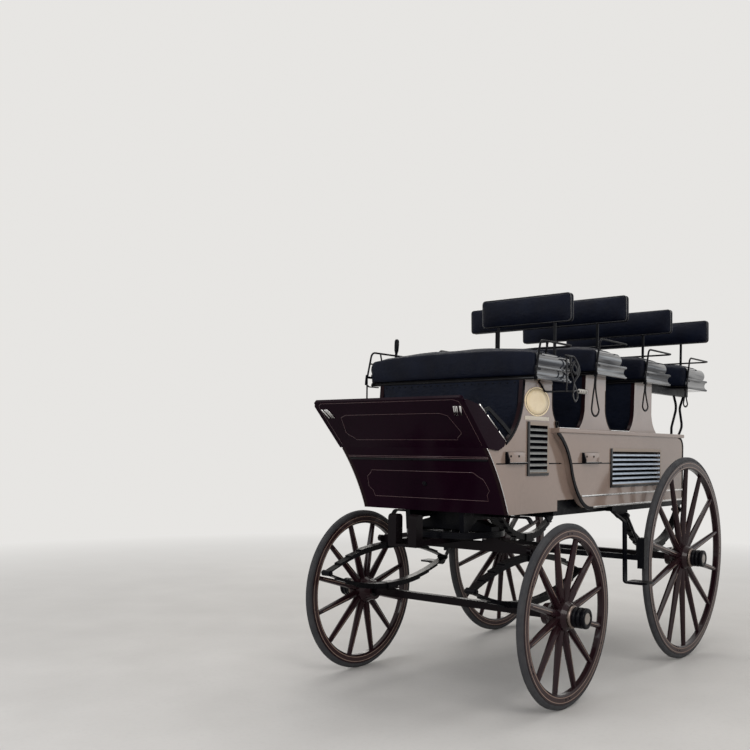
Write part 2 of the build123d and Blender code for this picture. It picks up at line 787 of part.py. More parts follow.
# Futchells and pole socket: the two timbers above the bed, with the jaw for the pole
futchell_low = bed_top
futchell_high = bed_top + futchell_height
jaw_station = 490.0
jaw_depth = 60.0
jaw_width = 196.0
jaw_slot = 84.0
jaw_low = 866.0
jaw_high = 1045.0
with BuildPart() as futchells:
    for side in (-1, 1):
        with BuildSketch(Plane.XY.offset(futchell_low)):
            with Locations((front_axle_x + 70, side * 75)):
                Rectangle(840, 46)
        extrude(amount=futchell_high - futchell_low)
    with BuildSketch(Plane.XY.offset(jaw_low)):
        with Locations((front_axle_x + jaw_station, 0)):
            Rectangle(jaw_depth, jaw_width)
            Rectangle(jaw_depth, jaw_slot, mode=Mode.SUBTRACT)
    extrude(amount=jaw_high - jaw_low)
    with BuildSketch(Plane.XY.offset(jaw_low)):
        with Locations((front_axle_x + jaw_station, 0)):
            Rectangle(jaw_depth, jaw_width)
    extrude(amount=14)
    fillet(futchells.edges().filter_by(Axis.Y).group_by(Axis.Z)[-1], 22)
    with BuildSketch(Plane.XY.offset(futchell_low)):
        with Locations((front_axle_x - 335, 0)):
            Rectangle(40, 196)
    extrude(amount=futchell_high - futchell_low)
save(futchells.part, "futchells")

# Fifth wheel: the lower ring turns with the bed, the upper ring is fixed below the boot
ring_low = futchell_high
ring_meet = ring_low + 16
with BuildPart() as lower_ring:
    with BuildSketch(Plane.XY.offset(ring_low)):
        with Locations((front_axle_x, 0)):
            Circle(fifth_wheel_radius)
            Circle(fifth_wheel_radius - ring_width, mode=Mode.SUBTRACT)
            Rectangle(96, 2 * fifth_wheel_radius - 20)
            Circle(kingpin_radius + fit_gap, mode=Mode.SUBTRACT)
    extrude(amount=ring_meet - ring_low)
save(lower_ring.part, "lower_ring")

ring_top = ring_meet + fit_gap + 16
bolster_depth = 84.0
bolster_half = fifth_wheel_radius - 12.0
bearer_y = 190.0
cross_iron_half = 500.0
cross_iron_z = 1024.0
with BuildPart() as upper_ring:
    with BuildSketch(Plane.XY.offset(ring_meet + fit_gap)):
        with Locations((front_axle_x, 0)):
            Circle(fifth_wheel_radius)
            Circle(fifth_wheel_radius - ring_width, mode=Mode.SUBTRACT)
    extrude(amount=16)
    with BuildSketch(Plane.YZ.offset(front_axle_x - bolster_depth / 2)):
        with BuildLine():
            Polyline(
                (-bolster_half, ring_top),
                (bolster_half, ring_top),
                (bolster_half, ring_top + 28),
                (160, ring_top + 62),
                (130, boot_bottom_z),
                (-130, boot_bottom_z),
                (-160, ring_top + 62),
                (-bolster_half, ring_top + 28),
                close=True,
            )
        make_face()
    extrude(amount=bolster_depth)
    for side in (-1, 1):
        with BuildSketch(Plane.XZ.offset(-side * bearer_y - 15)):
            with BuildLine():
                Polyline(
                    (front_axle_x + 212, ring_top),
                    (front_axle_x + 222, boot_bottom_z),
                    (front_axle_x - 265, boot_bottom_z),
                    (front_axle_x - 265, boot_bottom_z - 34),
                    (front_axle_x - 130, boot_bottom_z - 44),
                    (front_axle_x - 212, ring_top),
                    (front_axle_x - 172, ring_top),
                    (front_axle_x - 80, boot_bottom_z - 50),
                    (front_axle_x + 80, boot_bottom_z - 50),
                    (front_axle_x + 172, ring_top),
                    close=True,
                )
            make_face()
        extrude(amount=30)
    for iron_x in (-30.0, -235.0):
        with BuildLine():
            FilletPolyline(
                (front_axle_x + iron_x, -cross_iron_half, cross_iron_z - 34),
                (front_axle_x + iron_x, 24 - cross_iron_half, cross_iron_z),
                (front_axle_x + iron_x, cross_iron_half - 24, cross_iron_z),
                (front_axle_x + iron_x, cross_iron_half, cross_iron_z - 34),
                radius=26,
            )
        with BuildSketch(
            Plane(
                origin=(front_axle_x + iron_x, -cross_iron_half, cross_iron_z - 34),
                x_dir=(1, 0, 0),
                z_dir=(0, 24, 34),
            )
        ):
            Rectangle(34, 12)
        sweep()
    with BuildSketch(Plane.XY.offset(bed_top - 50)):
        with Locations((front_axle_x, 0)):
            Circle(kingpin_radius)
    extrude(amount=ring_top + 10 - bed_top + 50)
save(upper_ring.part, "upper_ring")

# Rear springs: one semi-elliptic pack a side
rear_eye_reach = 460.0
rear_leaf_count = 6
rear_seat_z = rear_wheel_radius + axle_size / 2 + 12
rear_rise = 215.0
rear_arc = (rear_eye_reach ** 2 + rear_rise ** 2) / (2 * rear_rise)
rear_main_angle = math.degrees(math.asin(rear_eye_reach / rear_arc))
rear_main_z = rear_seat_z + rear_leaf_count * leaf_thickness
rear_eye_z = rear_main_z + rear_rise
with BuildPart() as rear_springs:
    for k in range(rear_leaf_count):
        with BuildSketch(Plane.XZ.offset(-spring_y - spring_width / 2)):
            with BuildLine():
                leaf_sector(
                    rear_axle_x,
                    rear_main_z + rear_arc,
                    rear_arc + k * leaf_thickness,
                    rear_main_angle * (1 - 0.13 * k),
                    -90,
                    leaf_thickness,
                )
            make_face()
        extrude(amount=spring_width)
    for end in (-1, 1):
        with BuildSketch(Plane.XZ.offset(-spring_y - spring_width / 2 - 4)):
            with Locations((rear_axle_x + end * rear_eye_reach, rear_eye_z)):
                Circle(18)
        extrude(amount=spring_width + 8)
        with BuildSketch(Plane.XZ.offset(-spring_y - spring_width / 2 - 14)):
            with Locations((rear_axle_x + end * rear_eye_reach, rear_eye_z)):
                RegularPolygon(11, 6)
        extrude(amount=spring_width + 28)
    with BuildSketch(Plane.XY.offset(rear_seat_z)):
        with Locations((rear_axle_x, spring_y)):
            Rectangle(clamp_length + 14, spring_width + 16)
    extrude(amount=rear_leaf_count * leaf_thickness + 4)
    mirror(about=Plane.XZ)
save(rear_springs.part, "rear_springs")

with BuildPart() as rear_axle:
    with BuildSketch(Plane.XZ.offset(-rear_track / 2 + axle_shoulder)):
        with Locations((rear_axle_x, rear_wheel_radius)):
            Rectangle(axle_size, axle_size)
    extrude(amount=rear_track - 2 * axle_shoulder)
    for side in (-1, 1):
        with BuildSketch(Plane.XY.offset(rear_wheel_radius + axle_size / 2)):
            with Locations((rear_axle_x, side * spring_y)):
                Rectangle(130, spring_width + 20)
        extrude(amount=12)
        with BuildSketch(Plane.XZ.offset(-side * (rear_track / 2 - arm_middle) - arm_length / 2)):
            with Locations((rear_axle_x, rear_wheel_radius)):
                Circle(arm_radius)
        extrude(amount=arm_length)
save(rear_axle.part, "rear_axle")

# Underframe: sills with the hangers that carry the rear springs
sill_height = 36.0
hand_thickness = 34.0
hand_top = rocker_z - sill_height
hand_foot = rear_eye_z + 18
front_hand_x = rear_axle_x + rear_eye_reach
sill_ahead = rear_eye_reach + 212.0
sill_behind = rear_eye_reach + 21.0
with BuildPart() as underframe:
    for side in (-1, 1):
        with BuildSketch(Plane.XY.offset(rocker_z - sill_height)):
            with Locations((rear_axle_x + (sill_ahead - sill_behind) / 2, side * spring_y)):
                Rectangle(sill_ahead + sill_behind, 60)
        extrude(amount=sill_height)
        with BuildSketch(Plane.XY.offset(rocker_z)):
            with Locations((station((well_rear + body_rear + 25) / 2), side * (side_in - 30))):
                Rectangle(well_rear - body_rear - 25, 60)
        extrude(amount=step_up_z - rocker_z)
        with BuildSketch(Plane.XZ.offset(-side * spring_y - hand_thickness / 2)):
            with BuildLine():
                Polyline(
                    (front_hand_x - 20, hand_top),
                    (front_hand_x - 20, hand_foot),
                    (front_hand_x + 22, hand_foot),
                    (front_hand_x + 30, hand_foot - 30),
                    (front_hand_x + 70, hand_foot - 34),
                )
                ThreePointArc(
                    (front_hand_x + 70, hand_foot - 34),
                    (front_hand_x + 105, hand_foot - 16),
                    (front_hand_x + 180, hand_top),
                )
                Line((front_hand_x + 180, hand_top), (front_hand_x - 20, hand_top))
            make_face()
            with Locations((rear_axle_x - rear_eye_reach, (hand_top + hand_foot) / 2)):
                Rectangle(40, hand_top - hand_foot)
        extrude(amount=hand_thickness)
    for cross in (well_rear - 70, body_rear + 70):
        with BuildSketch(Plane.XY.offset(rocker_z)):
            with Locations((station(cross), 0)):
                Rectangle(60, 2 * side_in - 60)
        extrude(amount=step_up_z - rocker_z)
save(underframe.part, "underframe")

# Brake: blocks ahead of the rear wheels on a cross beam hung from the sills
block_clear = 8.0
block_depth = 40.0
block_front = rear_axle_x + rear_wheel_radius + block_clear + block_depth
beam_z = 742.0
beam_half = rear_track / 2 - 10
hanger_x = front_hand_x + 48
hanger_y = spring_y + hand_thickness / 2
hanger_z = hand_foot - 16
with BuildPart() as brake_gear:
    with BuildSketch(Plane.XZ.offset(-beam_half)):
        with Locations((block_front - 8, beam_z)):
            Rectangle(24, 34)
    extrude(amount=2 * beam_half)
    for side in (-1, 1):
        with BuildSketch(Plane.XZ.offset(-side * rear_track / 2 - 22)):
            with BuildLine():
                arc = CenterArc((rear_axle_x, rear_wheel_radius), rear_wheel_radius + block_clear, -1, 16)
                Polyline(arc @ 1, (block_front, (arc @ 1).Y), (block_front, (arc @ 0).Y), arc @ 0)
            make_face()
        extrude(amount=44)
        with BuildLine():
            FilletPolyline(
                (hanger_x, side * hanger_y, hanger_z),
                (hanger_x, side * (hanger_y + 28), hanger_z),
                (block_front - 8, side * (beam_half - 16), beam_z + 100),
                (block_front - 8, side * (beam_half - 16), beam_z),
                radius=[14, 24],
            )
        with BuildSketch(Plane(origin=(hanger_x, side * hanger_y, hanger_z), z_dir=(0, side, 0))):
            Circle(9)
        sweep()
save(brake_gear.part, "brake_gear")

# Wheels. Columns: name, axle station, side, radius, half track, spokes
wheels = [
    ("front_left", front_axle_x, 1, front_wheel_radius, front_track / 2, 12),
    ("front_right", front_axle_x, -1, front_wheel_radius, front_track / 2, 12),
    ("rear_left", rear_axle_x, 1, rear_wheel_radius, rear_track / 2, 14),
    ("rear_right", rear_axle_x, -1, rear_wheel_radius, rear_track / 2, 14),
]
for name, axle_x, side, radius, half_track, spokes in wheels:
    wheel_y = side * half_track
    wheel_axis = Axis((axle_x, wheel_y, radius), (0, 1, 0))
    section = Plane(origin=(axle_x, wheel_y, radius), x_dir=(1, 0, 0), z_dir=(0, 0, 1))
    felloe_out = radius - tyre_height
    felloe_in = felloe_out - felloe_depth

    with BuildPart() as tyre:
        with BuildSketch(section):
            with BuildLine():
                Polyline(
                    (felloe_out, -tyre_width / 2),
                    (felloe_out + 0.45 * tyre_height, -tyre_width / 2),
                    (radius - 5, -0.36 * tyre_width),
                    (radius, -0.2 * tyre_width),
                    (radius, 0.2 * tyre_width),
                    (radius - 5, 0.36 * tyre_width),
                    (felloe_out + 0.45 * tyre_height, tyre_width / 2),
                    (felloe_out, tyre_width / 2),
                    close=True,
                )
            make_face()
        revolve(axis=wheel_axis)
    save(tyre.part, f"tyre_{name}")

    with BuildPart() as wheel:
        with BuildSketch(section):
            with Locations(((felloe_out + felloe_in) / 2, 0)):
                Rectangle(felloe_depth, felloe_width)
            chamfer(vertices().sort_by(Axis.X)[:2], 8)
        revolve(axis=wheel_axis)
        with BuildSketch(section):
            with BuildLine():
                Polyline(
                    (38, side * (-dish - 100)),
                    (58, side * (-dish - 100)),
                    (66, side * (-dish - 60)),
                    (nave_radius, side * (-dish - 34)),
                    (nave_radius, side * (-dish + 34)),
                    (64, side * (-dish + 62)),
                    (52, side * (-dish + 84)),
                    (38, side * (-dish + 84)),
                    close=True,
                )
            make_face()
        revolve(axis=wheel_axis)
        for k in range(spokes):
            angle = math.radians(360.0 * (k + 0.5) / spokes)
            along = (math.cos(angle), 0, math.sin(angle))
            spoke = Plane(origin=(axle_x, wheel_y, radius), x_dir=(0, 1, 0), z_dir=along)
            with BuildSketch(spoke.offset(nave_radius - 14)):
                with Locations((-side * dish, 0)):
                    RegularPolygon(24, 8)
            with BuildSketch(spoke.offset(felloe_in + 6)):
                RegularPolygon(15.5, 8)
            loft()
    save(wheel.part, f"wheel_{name}")

    cap_from = side * (-dish + 84)
    cap_end = side * hub_reach
    cap_start = cap_from + side * 16
    rib_pitch = (cap_end - side * 4 - cap_start) / hub_ribs
    rib_points = []
    for k in range(hub_ribs):
        rib_start = cap_start + k * rib_pitch
        rib_points.append((hub_cap_radius - hub_rib_depth, rib_start + 0.1 * rib_pitch))
        rib_points.append((hub_cap_radius, rib_start + 0.3 * rib_pitch))
        rib_points.append((hub_cap_radius, rib_start + 0.8 * rib_pitch))
        rib_points.append((hub_cap_radius - hub_rib_depth, rib_start + rib_pitch))
    with BuildPart() as hub:
        with BuildSketch(section):
            with BuildLine():
                Polyline(
                    (arm_radius + fit_gap, side * (-dish - 96)),
                    (38, side * (-dish - 96)),
                    (38, cap_from),
                    (hub_cap_radius + 8, cap_from),
                    (hub_cap_radius + 8, cap_from + side * 12),
                    *rib_points,
                    (hub_cap_radius - 11, cap_end),
                    (hub_cap_radius - 14, cap_end - side * 3),
                    (0, cap_end - side * 3),
                    (0, side * (arm_length / 2 - arm_middle + 2)),
                    (arm_radius + fit_gap, side * (arm_length / 2 - arm_middle + 2)),
                    close=True,
                )
            make_face()
        revolve(axis=wheel_axis)
    save(hub.part, f"hub_{name}")
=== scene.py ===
import bmesh
import bpy
import math
from mathutils import Matrix, Vector


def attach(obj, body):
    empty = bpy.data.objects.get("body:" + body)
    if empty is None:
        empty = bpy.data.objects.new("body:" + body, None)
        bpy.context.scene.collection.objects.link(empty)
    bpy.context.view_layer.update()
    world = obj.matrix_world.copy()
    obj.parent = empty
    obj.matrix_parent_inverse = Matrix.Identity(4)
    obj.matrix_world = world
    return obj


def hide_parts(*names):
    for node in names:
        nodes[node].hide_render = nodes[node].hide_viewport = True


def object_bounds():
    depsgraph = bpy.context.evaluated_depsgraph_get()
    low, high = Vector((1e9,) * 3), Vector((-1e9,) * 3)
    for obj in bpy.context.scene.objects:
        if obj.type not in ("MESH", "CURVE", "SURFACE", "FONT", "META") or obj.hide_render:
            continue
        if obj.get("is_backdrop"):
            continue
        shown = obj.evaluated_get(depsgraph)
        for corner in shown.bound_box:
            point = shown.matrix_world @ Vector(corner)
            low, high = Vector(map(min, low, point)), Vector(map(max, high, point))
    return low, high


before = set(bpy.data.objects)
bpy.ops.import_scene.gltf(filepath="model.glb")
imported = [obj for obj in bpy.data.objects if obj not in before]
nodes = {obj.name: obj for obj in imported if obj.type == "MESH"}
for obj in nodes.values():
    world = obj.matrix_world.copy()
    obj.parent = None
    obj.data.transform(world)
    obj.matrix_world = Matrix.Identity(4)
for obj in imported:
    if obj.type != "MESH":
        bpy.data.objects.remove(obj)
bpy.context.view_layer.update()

# Metres, in the CAD frame: +X forward, +Y left, +Z up. Stations count forward from the front axle.
FRONT_AXLE_X = 0.9056
WHEELBASE = 1.699
SIDE_OUT = 0.505
QUARTER_OUT = 0.545
SIDES = (1, -1)
TURN = 2 * math.pi


def st(s):
    """A station in millimetres from the front axle, as a frame x in metres."""
    return FRONT_AXLE_X + s / 1000.0


def spots(side, points):
    """Points of (station, out, height) in millimetres on one side of the body, in metres."""
    return [(st(s), side * y / 1000.0, z / 1000.0) for s, y, z in points]


def new_object(name, data):
    """An object in the scene with its data."""
    made = bpy.data.objects.new(name, data)
    bpy.context.scene.collection.objects.link(made)
    return made


# Camera at the photograph's place and angle
CAMERA_PLACE = (FRONT_AXLE_X + 4.524, 3.098, 1.396)
CAMERA_YAW = -2.453
CAMERA_PITCH = -0.013
CAMERA_ROLL = 0.011
CAMERA_LENS = 44.12
CAMERA_SHIFT_Y = 0.1164


def add_camera():
    fwd = Vector((
        math.cos(CAMERA_PITCH) * math.cos(CAMERA_YAW),
        math.cos(CAMERA_PITCH) * math.sin(CAMERA_YAW),
        math.sin(CAMERA_PITCH),
    ))
    right = fwd.cross(Vector((0, 0, 1))).normalized()
    up = right.cross(fwd)
    r2 = math.cos(CAMERA_ROLL) * right + math.sin(CAMERA_ROLL) * up
    u2 = -math.sin(CAMERA_ROLL) * right + math.cos(CAMERA_ROLL) * up
    data = bpy.data.cameras.new("camera")
    data.lens = CAMERA_LENS
    data.sensor_width = 36.0
    data.shift_y = CAMERA_SHIFT_Y
    data.clip_end = 200.0
    camera = new_object("camera", data)
    camera.matrix_world = Matrix((
        (r2.x, u2.x, -fwd.x, CAMERA_PLACE[0]),
        (r2.y, u2.y, -fwd.y, CAMERA_PLACE[1]),
        (r2.z, u2.z, -fwd.z, CAMERA_PLACE[2]),
        (0, 0, 0, 1),
    ))
    bpy.context.scene.camera = camera


add_camera()


def put(tree, value, socket):
    """Fills a socket with a number or a colour, or links it to another one."""
    if isinstance(value, (int, float)):
        socket.default_value = value
    elif isinstance(value, tuple):
        socket.default_value = value if len(value) == len(socket.default_value) else (*value, 1.0)
    else:
        tree.links.new(value, socket)


def new_node(tree, kind, sockets=None, **options):
    """A node of one kind, with its options and its input sockets filled."""
    made = tree.nodes.new("ShaderNode" + kind)
    for key, value in options.items():
        setattr(made, key, value)
    for key, value in (sockets or {}).items():
        put(tree, value, made.inputs[key])
    return made


class Shader:
    """A material's node tree with short calls for the nodes used here."""

    def __init__(self, name):
        self.mat = bpy.data.materials.new(name)
        self.mat.use_nodes = True
        self.tree = self.mat.node_tree
        self.bsdf = self.tree.nodes["Principled BSDF"]
        self.place = self.node("TexCoord").outputs["Object"]
        self.geometry = self.node("NewGeometry")

    def node(self, kind, sockets=None, **options):
        return new_node(self.tree, kind, sockets, **options)

    def math(self, kind, a, b=0.0):
        return self.node("Math", {0: a, 1: b}, operation=kind).outputs[0]

    def times(self, a, b):
        return self.math("MULTIPLY", a, b)

    def gap(self, a, b):
        """How far two values are apart."""
        return self.math("ABSOLUTE", self.math("SUBTRACT", a, b))

    def split(self, vector):
        return tuple(self.node("SeparateXYZ", {0: vector}).outputs)

    def normal(self):
        return self.split(self.geometry.outputs["Normal"])

    def noise(self, scale, detail=3.0, rough=0.5, stretch=(1, 1, 1)):
        where = self.node("VectorMath", {0: self.place, 1: stretch}, operation="MULTIPLY").outputs["Vector"]
        sockets = {"Vector": where, "Scale": scale, "Detail": detail, "Roughness": rough}
        return self.node("TexNoise", sockets).outputs["Fac"]

    def cells(self, scale):
        """Distance to the edges of small irregular cells."""
        sockets = {"Vector": self.place, "Scale": scale}
        return self.node("TexVoronoi", sockets, feature="DISTANCE_TO_EDGE").outputs["Distance"]

    def ramp(self, value, low, high, out_low=0.0, out_high=1.0):
        sockets = {"Value": value, "From Min": low, "From Max": high, "To Min": out_low, "To Max": out_high}
        return self.node("MapRange", sockets).outputs["Result"]

    def mix(self, fac, a, b):
        return self.node("Mix", {0: fac, 6: a, 7: b}, data_type="RGBA").outputs[2]

    def bump(self, height, distance, under=None):
        sockets = {"Strength": 1.0, "Distance": distance, "Height": height}
        if under is not None:
            sockets["Normal"] = under
        return self.node("Bump", sockets).outputs["Normal"]

    def set(self, **sockets):
        for key, value in sockets.items():
            put(self.tree, value, self.bsdf.inputs[key.replace("_", " ")])

    def upward(self):
        """1 on faces that look up, 0 on the others: where dust settles."""
        return self.ramp(self.normal()[2], 0.6, 0.98)


def between(s, value, middle, half, soft):
    """1 within half of middle, falling to 0 over soft."""
    return s.ramp(s.gap(value, middle), half, half + soft, 1.0, 0.0)


DUST = (0.30, 0.27, 0.24)


def dusted(s, color, patches, low, high):
    """A trace of dust in patches on the faces that look up."""
    return s.mix(s.times(s.upward(), s.ramp(patches, 0.3, 0.8, low, high)), color, DUST)


def coach_paint(name, base, light, dark, gloss=0.10, lines=None, level=0.42, coat=0.35, wobble=0.0025):
    """Varnished coach paint: slow drift of tone, faint polishing haze, a trace of dust on top."""
    s = Shader(name)
    tone = s.mix(s.ramp(s.noise(2.2, 4.0), 0.35, 0.65), light, dark)
    fine = s.mix(s.ramp(s.noise(38.0, 5.0), 0.3, 0.7), tone, base)
    color = dusted(s, fine, s.noise(9.0), 0.01, 0.06)
    if lines is not None:
        color = lines(s, color)
    haze = s.ramp(s.noise(6.0, 6.0, 0.65), 0.3, 0.75, gloss, gloss + 0.14)
    s.set(Base_Color=color, Roughness=haze)
    s.set(Specular_IOR_Level=level, Coat_Weight=coat, Coat_Roughness=0.03)
    wave = s.bump(s.noise(3.0, 2.0), wobble)
    s.set(Normal=s.bump(s.noise(260.0, 2.0), 0.00012, wave))
    return s.mat


def enamel(name, base, worn, gloss=0.22):
    """Black enamel on forged iron: brushed on, slightly uneven, rubbed in places."""
    s = Shader(name)
    rub = s.ramp(s.noise(24.0, 6.0, 0.7), 0.58, 0.80)
    color = s.mix(s.times(rub, 0.5), base, worn)
    color = s.mix(s.times(s.upward(), 0.03), color, DUST)
    s.set(Base_Color=color, Roughness=s.ramp(s.noise(16.0, 5.0), 0.3, 0.7, gloss, gloss + 0.2))
    hammered = s.bump(s.noise(55.0, 3.0), 0.0006)
    s.set(Specular_IOR_Level=0.07, Normal=s.bump(s.noise(420.0, 2.0), 0.0001, hammered))
    return s.mat


def leather(name, base, light, grain=1.0):
    """Black upholstery leather: pebbled grain, fine creases, a soft sheen that varies in patches at random.
    """
    s = Shader(name)
    pebble = s.cells(330.0)
    crease = s.noise(46.0, 6.0, 0.62, (1.0, 0.45, 1.0))
    color = s.mix(s.ramp(s.noise(7.0, 4.0), 0.35, 0.7), base, light)
    color = s.mix(s.times(s.ramp(pebble, 0.0, 0.12, 1.0, 0.0), 0.5), color, (0.002, 0.002, 0.003))
    color = dusted(s, color, s.noise(13.0), 0.0, 0.03)
    s.set(Base_Color=color, Roughness=s.ramp(s.noise(18.0, 4.0), 0.3, 0.7, 0.34, 0.52))
    folds = s.bump(s.ramp(crease, 0.45, 0.62), 0.0008 * grain)
    s.set(Specular_IOR_Level=0.08, Normal=s.bump(s.ramp(pebble, 0.0, 0.2), 0.00022 * grain, folds))
    return s.mat


def rubber(name):
    """Grey-black tyre rubber with pale scuffs."""
    s = Shader(name)
    color = s.mix(s.ramp(s.noise(12.0, 5.0), 0.35, 0.7), (0.030, 0.031, 0.036), (0.046, 0.046, 0.050))
    scuff = s.ramp(s.noise(70.0, 6.0, 0.7), 0.55, 0.75)
    color = s.mix(s.times(scuff, 0.4), color, (0.085, 0.08, 0.078))
    s.set(Base_Color=color, Roughness=s.ramp(s.noise(30.0), 0.3, 0.7, 0.62, 0.85))
    s.set(Specular_IOR_Level=0.3, Normal=s.bump(s.noise(160.0, 5.0), 0.0006))
    return s.mat


def bright_metal(name, base, rough=0.16):
    """Plated metal, duller in patches."""
    s = Shader(name)
    color = s.mix(s.ramp(s.noise(25.0, 4.0), 0.4, 0.75), base, tuple(c * 0.72 for c in base))
    haze = s.ramp(s.noise(60.0, 4.0), 0.3, 0.7, rough, rough + 0.16)
    s.set(Base_Color=color, Metallic=1.0, Roughness=haze)
    s.set(Normal=s.bump(s.noise(120.0, 3.0), 0.00004))
    return s.mat


BOARD_WIDTH = 0.115


def painted_board(name, base, light):
    """Painted floor boards running across the body."""
    s = Shader(name)
    seam = s.gap(s.math("FRACT", s.times(s.split(s.place)[0], 1 / BOARD_WIDTH)), 0.5)
    groove = s.ramp(seam, 0.0, 0.02, 1.0, 0.0)
    grain = s.noise(30.0, 6.0, 0.6, (6.0, 0.6, 1.0))
    color = s.mix(s.ramp(grain, 0.35, 0.7), base, light)
    color = s.mix(s.times(groove, 0.8), color, (0.004, 0.004, 0.004))
    color = dusted(s, color, s.noise(8.0, 5.0), 0.04, 0.22)
    s.set(Base_Color=color, Roughness=s.ramp(grain, 0.3, 0.7, 0.42, 0.6))
    s.set(Specular_IOR_Level=0.2, Normal=s.bump(s.times(groove, -1.0), 0.002, s.bump(grain, 0.0006)))
    return s.mat


WHEEL_LINE = (0.33, 0.235, 0.19)
TYRE_HIGH = 0.028
FELLOE_HIGH = 0.054
LINE_SOFT = 0.0006


def wheel_paint(name, axle_x, radius, spokes):
    """Dark maroon wheel with fine tan lines: two rings on the felloe and one line down each spoke."""
    felloe_out = radius - TYRE_HIGH
    felloe_in = felloe_out - FELLOE_HIGH

    def lines(s, color):
        x, _, z = s.split(s.place)
        dx = s.math("SUBTRACT", x, axle_x)
        dz = s.math("SUBTRACT", z, radius)
        r = s.math("SQRT", s.math("ADD", s.times(dx, dx), s.times(dz, dz)))
        face = s.ramp(s.math("ABSOLUTE", s.normal()[1]), 0.75, 0.9)
        rings = [between(s, r, at, 0.0016, LINE_SOFT) for at in (felloe_out - 0.0125, felloe_in + 0.0145)]
        turn = s.times(s.math("ARCTAN2", dz, dx), spokes / TURN)
        part = s.math("SUBTRACT", s.math("FRACT", turn), 0.5)
        off = s.times(s.times(part, r), TURN / spokes)
        down = s.times(between(s, off, 0.0, 0.0013, LINE_SOFT), s.ramp(r, 0.16, 0.165))
        down = s.times(down, s.ramp(r, felloe_in - 0.035, felloe_in - 0.03, 1.0, 0.0))
        mark = s.times(s.math("MAXIMUM", s.math("MAXIMUM", *rings), down), face)
        band = s.times(between(s, r, (felloe_in + felloe_out) / 2, 0.016, 0.001), face)
        color = s.mix(s.times(band, 0.35), color, (0.060, 0.030, 0.028))
        return s.mix(s.times(mark, 0.85), color, WHEEL_LINE)

    tones = (0.017, 0.0060, 0.0090), (0.023, 0.0085, 0.0110), (0.012, 0.0045, 0.0065)
    return coach_paint(name, *tones, 0.16, lines, level=0.12, coat=0.2)


def dark_edges(s, color):
    """The edges and inner faces of the body's sides are dark, the outer faces keep their colour."""
    ny = s.normal()[1]
    edge = s.ramp(s.math("ABSOLUTE", ny), 0.3, 0.5, 1.0, 0.0)
    inner = s.ramp(s.times(s.split(s.place)[1], ny), -0.15, -0.05, 1.0, 0.0)
    dark = s.math("MAXIMUM", edge, inner)
    s.set(Specular_IOR_Level=s.ramp(dark, 0.0, 1.0, 0.42, 0.05))
    s.set(Coat_Weight=s.ramp(dark, 0.0, 1.0, 0.4, 0.0))
    return s.mix(dark, color, (0.014, 0.006, 0.008))


def dark_front(s, color):
    """The seat's front and inner faces are black, its moulded ends keep their colour."""
    inside = s.ramp(s.math("ABSOLUTE", s.split(s.place)[1]), 0.555, 0.560, 1.0, 0.0)
    dark = s.math("MAXIMUM", s.ramp(s.normal()[0], 0.5, 0.8), inside)
    streak = s.ramp(s.noise(26.0, 2.0, 0.5, (0.06, 0.3, 1.0)), 0.38, 0.52)
    shine = s.times(streak, s.math("SUBTRACT", 1.0, dark))
    s.set(Specular_IOR_Level=s.ramp(shine, 0.0, 1.0, 0.08, 0.5))
    s.set(Coat_Weight=s.ramp(shine, 0.0, 1.0, 0.15, 1.0))
    return s.mix(dark, color, (0.003, 0.003, 0.005))


def louvre_paint(name, middle, width, low, high, slats, pale):
    """Pale blades with painted shade between them, black where the gaps lie in deep shade; the blades' pale
    tone, blue-white on the rear louvre, is partly their own colour and partly a painted reflection of window
    light; the border is black at its front and foot.
    """
    border, soft = 0.020, 0.001
    s = Shader(name)
    x, _, z = s.split(s.place)
    pitch = (high - low - 2 * border) / slats
    # each pitch from its foot: the pale blade in its lower part, painted shade in its upper part, where the
    # gap between blades lies in shade
    rise = s.math("FRACT", s.times(s.math("SUBTRACT", z, low + border), 1 / pitch))
    blade = s.times(s.ramp(rise, 0.44, 0.52, 1.0, 0.0), s.ramp(rise, 0.02, 0.05))
    inside = s.times(
        between(s, x, middle, width / 2 - border, soft),
        between(s, z, (low + high) / 2, (high - low) / 2 - border, soft),
    )
    front, foot = middle + width / 2 - border, low + border * 0.8
    black = s.math("MAXIMUM", s.ramp(x, front, front + soft), s.ramp(z, foot, foot + soft, 1.0, 0.0))
    frame_color = s.mix(black, (0.30, 0.235, 0.19), (0.008, 0.008, 0.010))
    # the blades' pale tone, varying at random, is partly their own colour and partly a painted reflection of
    # window light
    tone = s.mix(s.ramp(s.noise(26.0, 4.0), 0.35, 0.7), pale, tuple(c * 0.84 for c in pale))
    # painted shade: near black between the blades, the pale tone on them
    color = s.mix(inside, frame_color, s.mix(blade, (0.006, 0.006, 0.009), tone))
    s.set(Base_Color=color, Roughness=s.ramp(s.noise(12.0, 4.0), 0.3, 0.7, 0.14, 0.26))
    s.set(Specular_IOR_Level=0.3, Normal=s.bump(s.noise(60.0, 3.0), 0.0002))
    return s.mat


# The three tones of a coach paint are its middle, light and dark tone
TAN_TONES = (0.278, 0.208, 0.176), (0.296, 0.222, 0.188), (0.256, 0.191, 0.161)
MAROON_TONES = (0.0090, 0.0018, 0.0066), (0.0120, 0.0026, 0.0084), (0.0066, 0.0013, 0.0052)
SEAT_TONES = (0.026, 0.029, 0.038), (0.034, 0.038, 0.050), (0.018, 0.020, 0.026)
GEAR_TONES = (0.0048, 0.0030, 0.0042), (0.0065, 0.0042, 0.0056), (0.0036, 0.0023, 0.0032)
KNOT_TONES = (0.006, 0.006, 0.009), (0.010, 0.010, 0.013), (0.004, 0.004, 0.006)
WELT_TONES = (0.008, 0.008, 0.011), (0.012, 0.012, 0.016), (0.005, 0.005, 0.008)

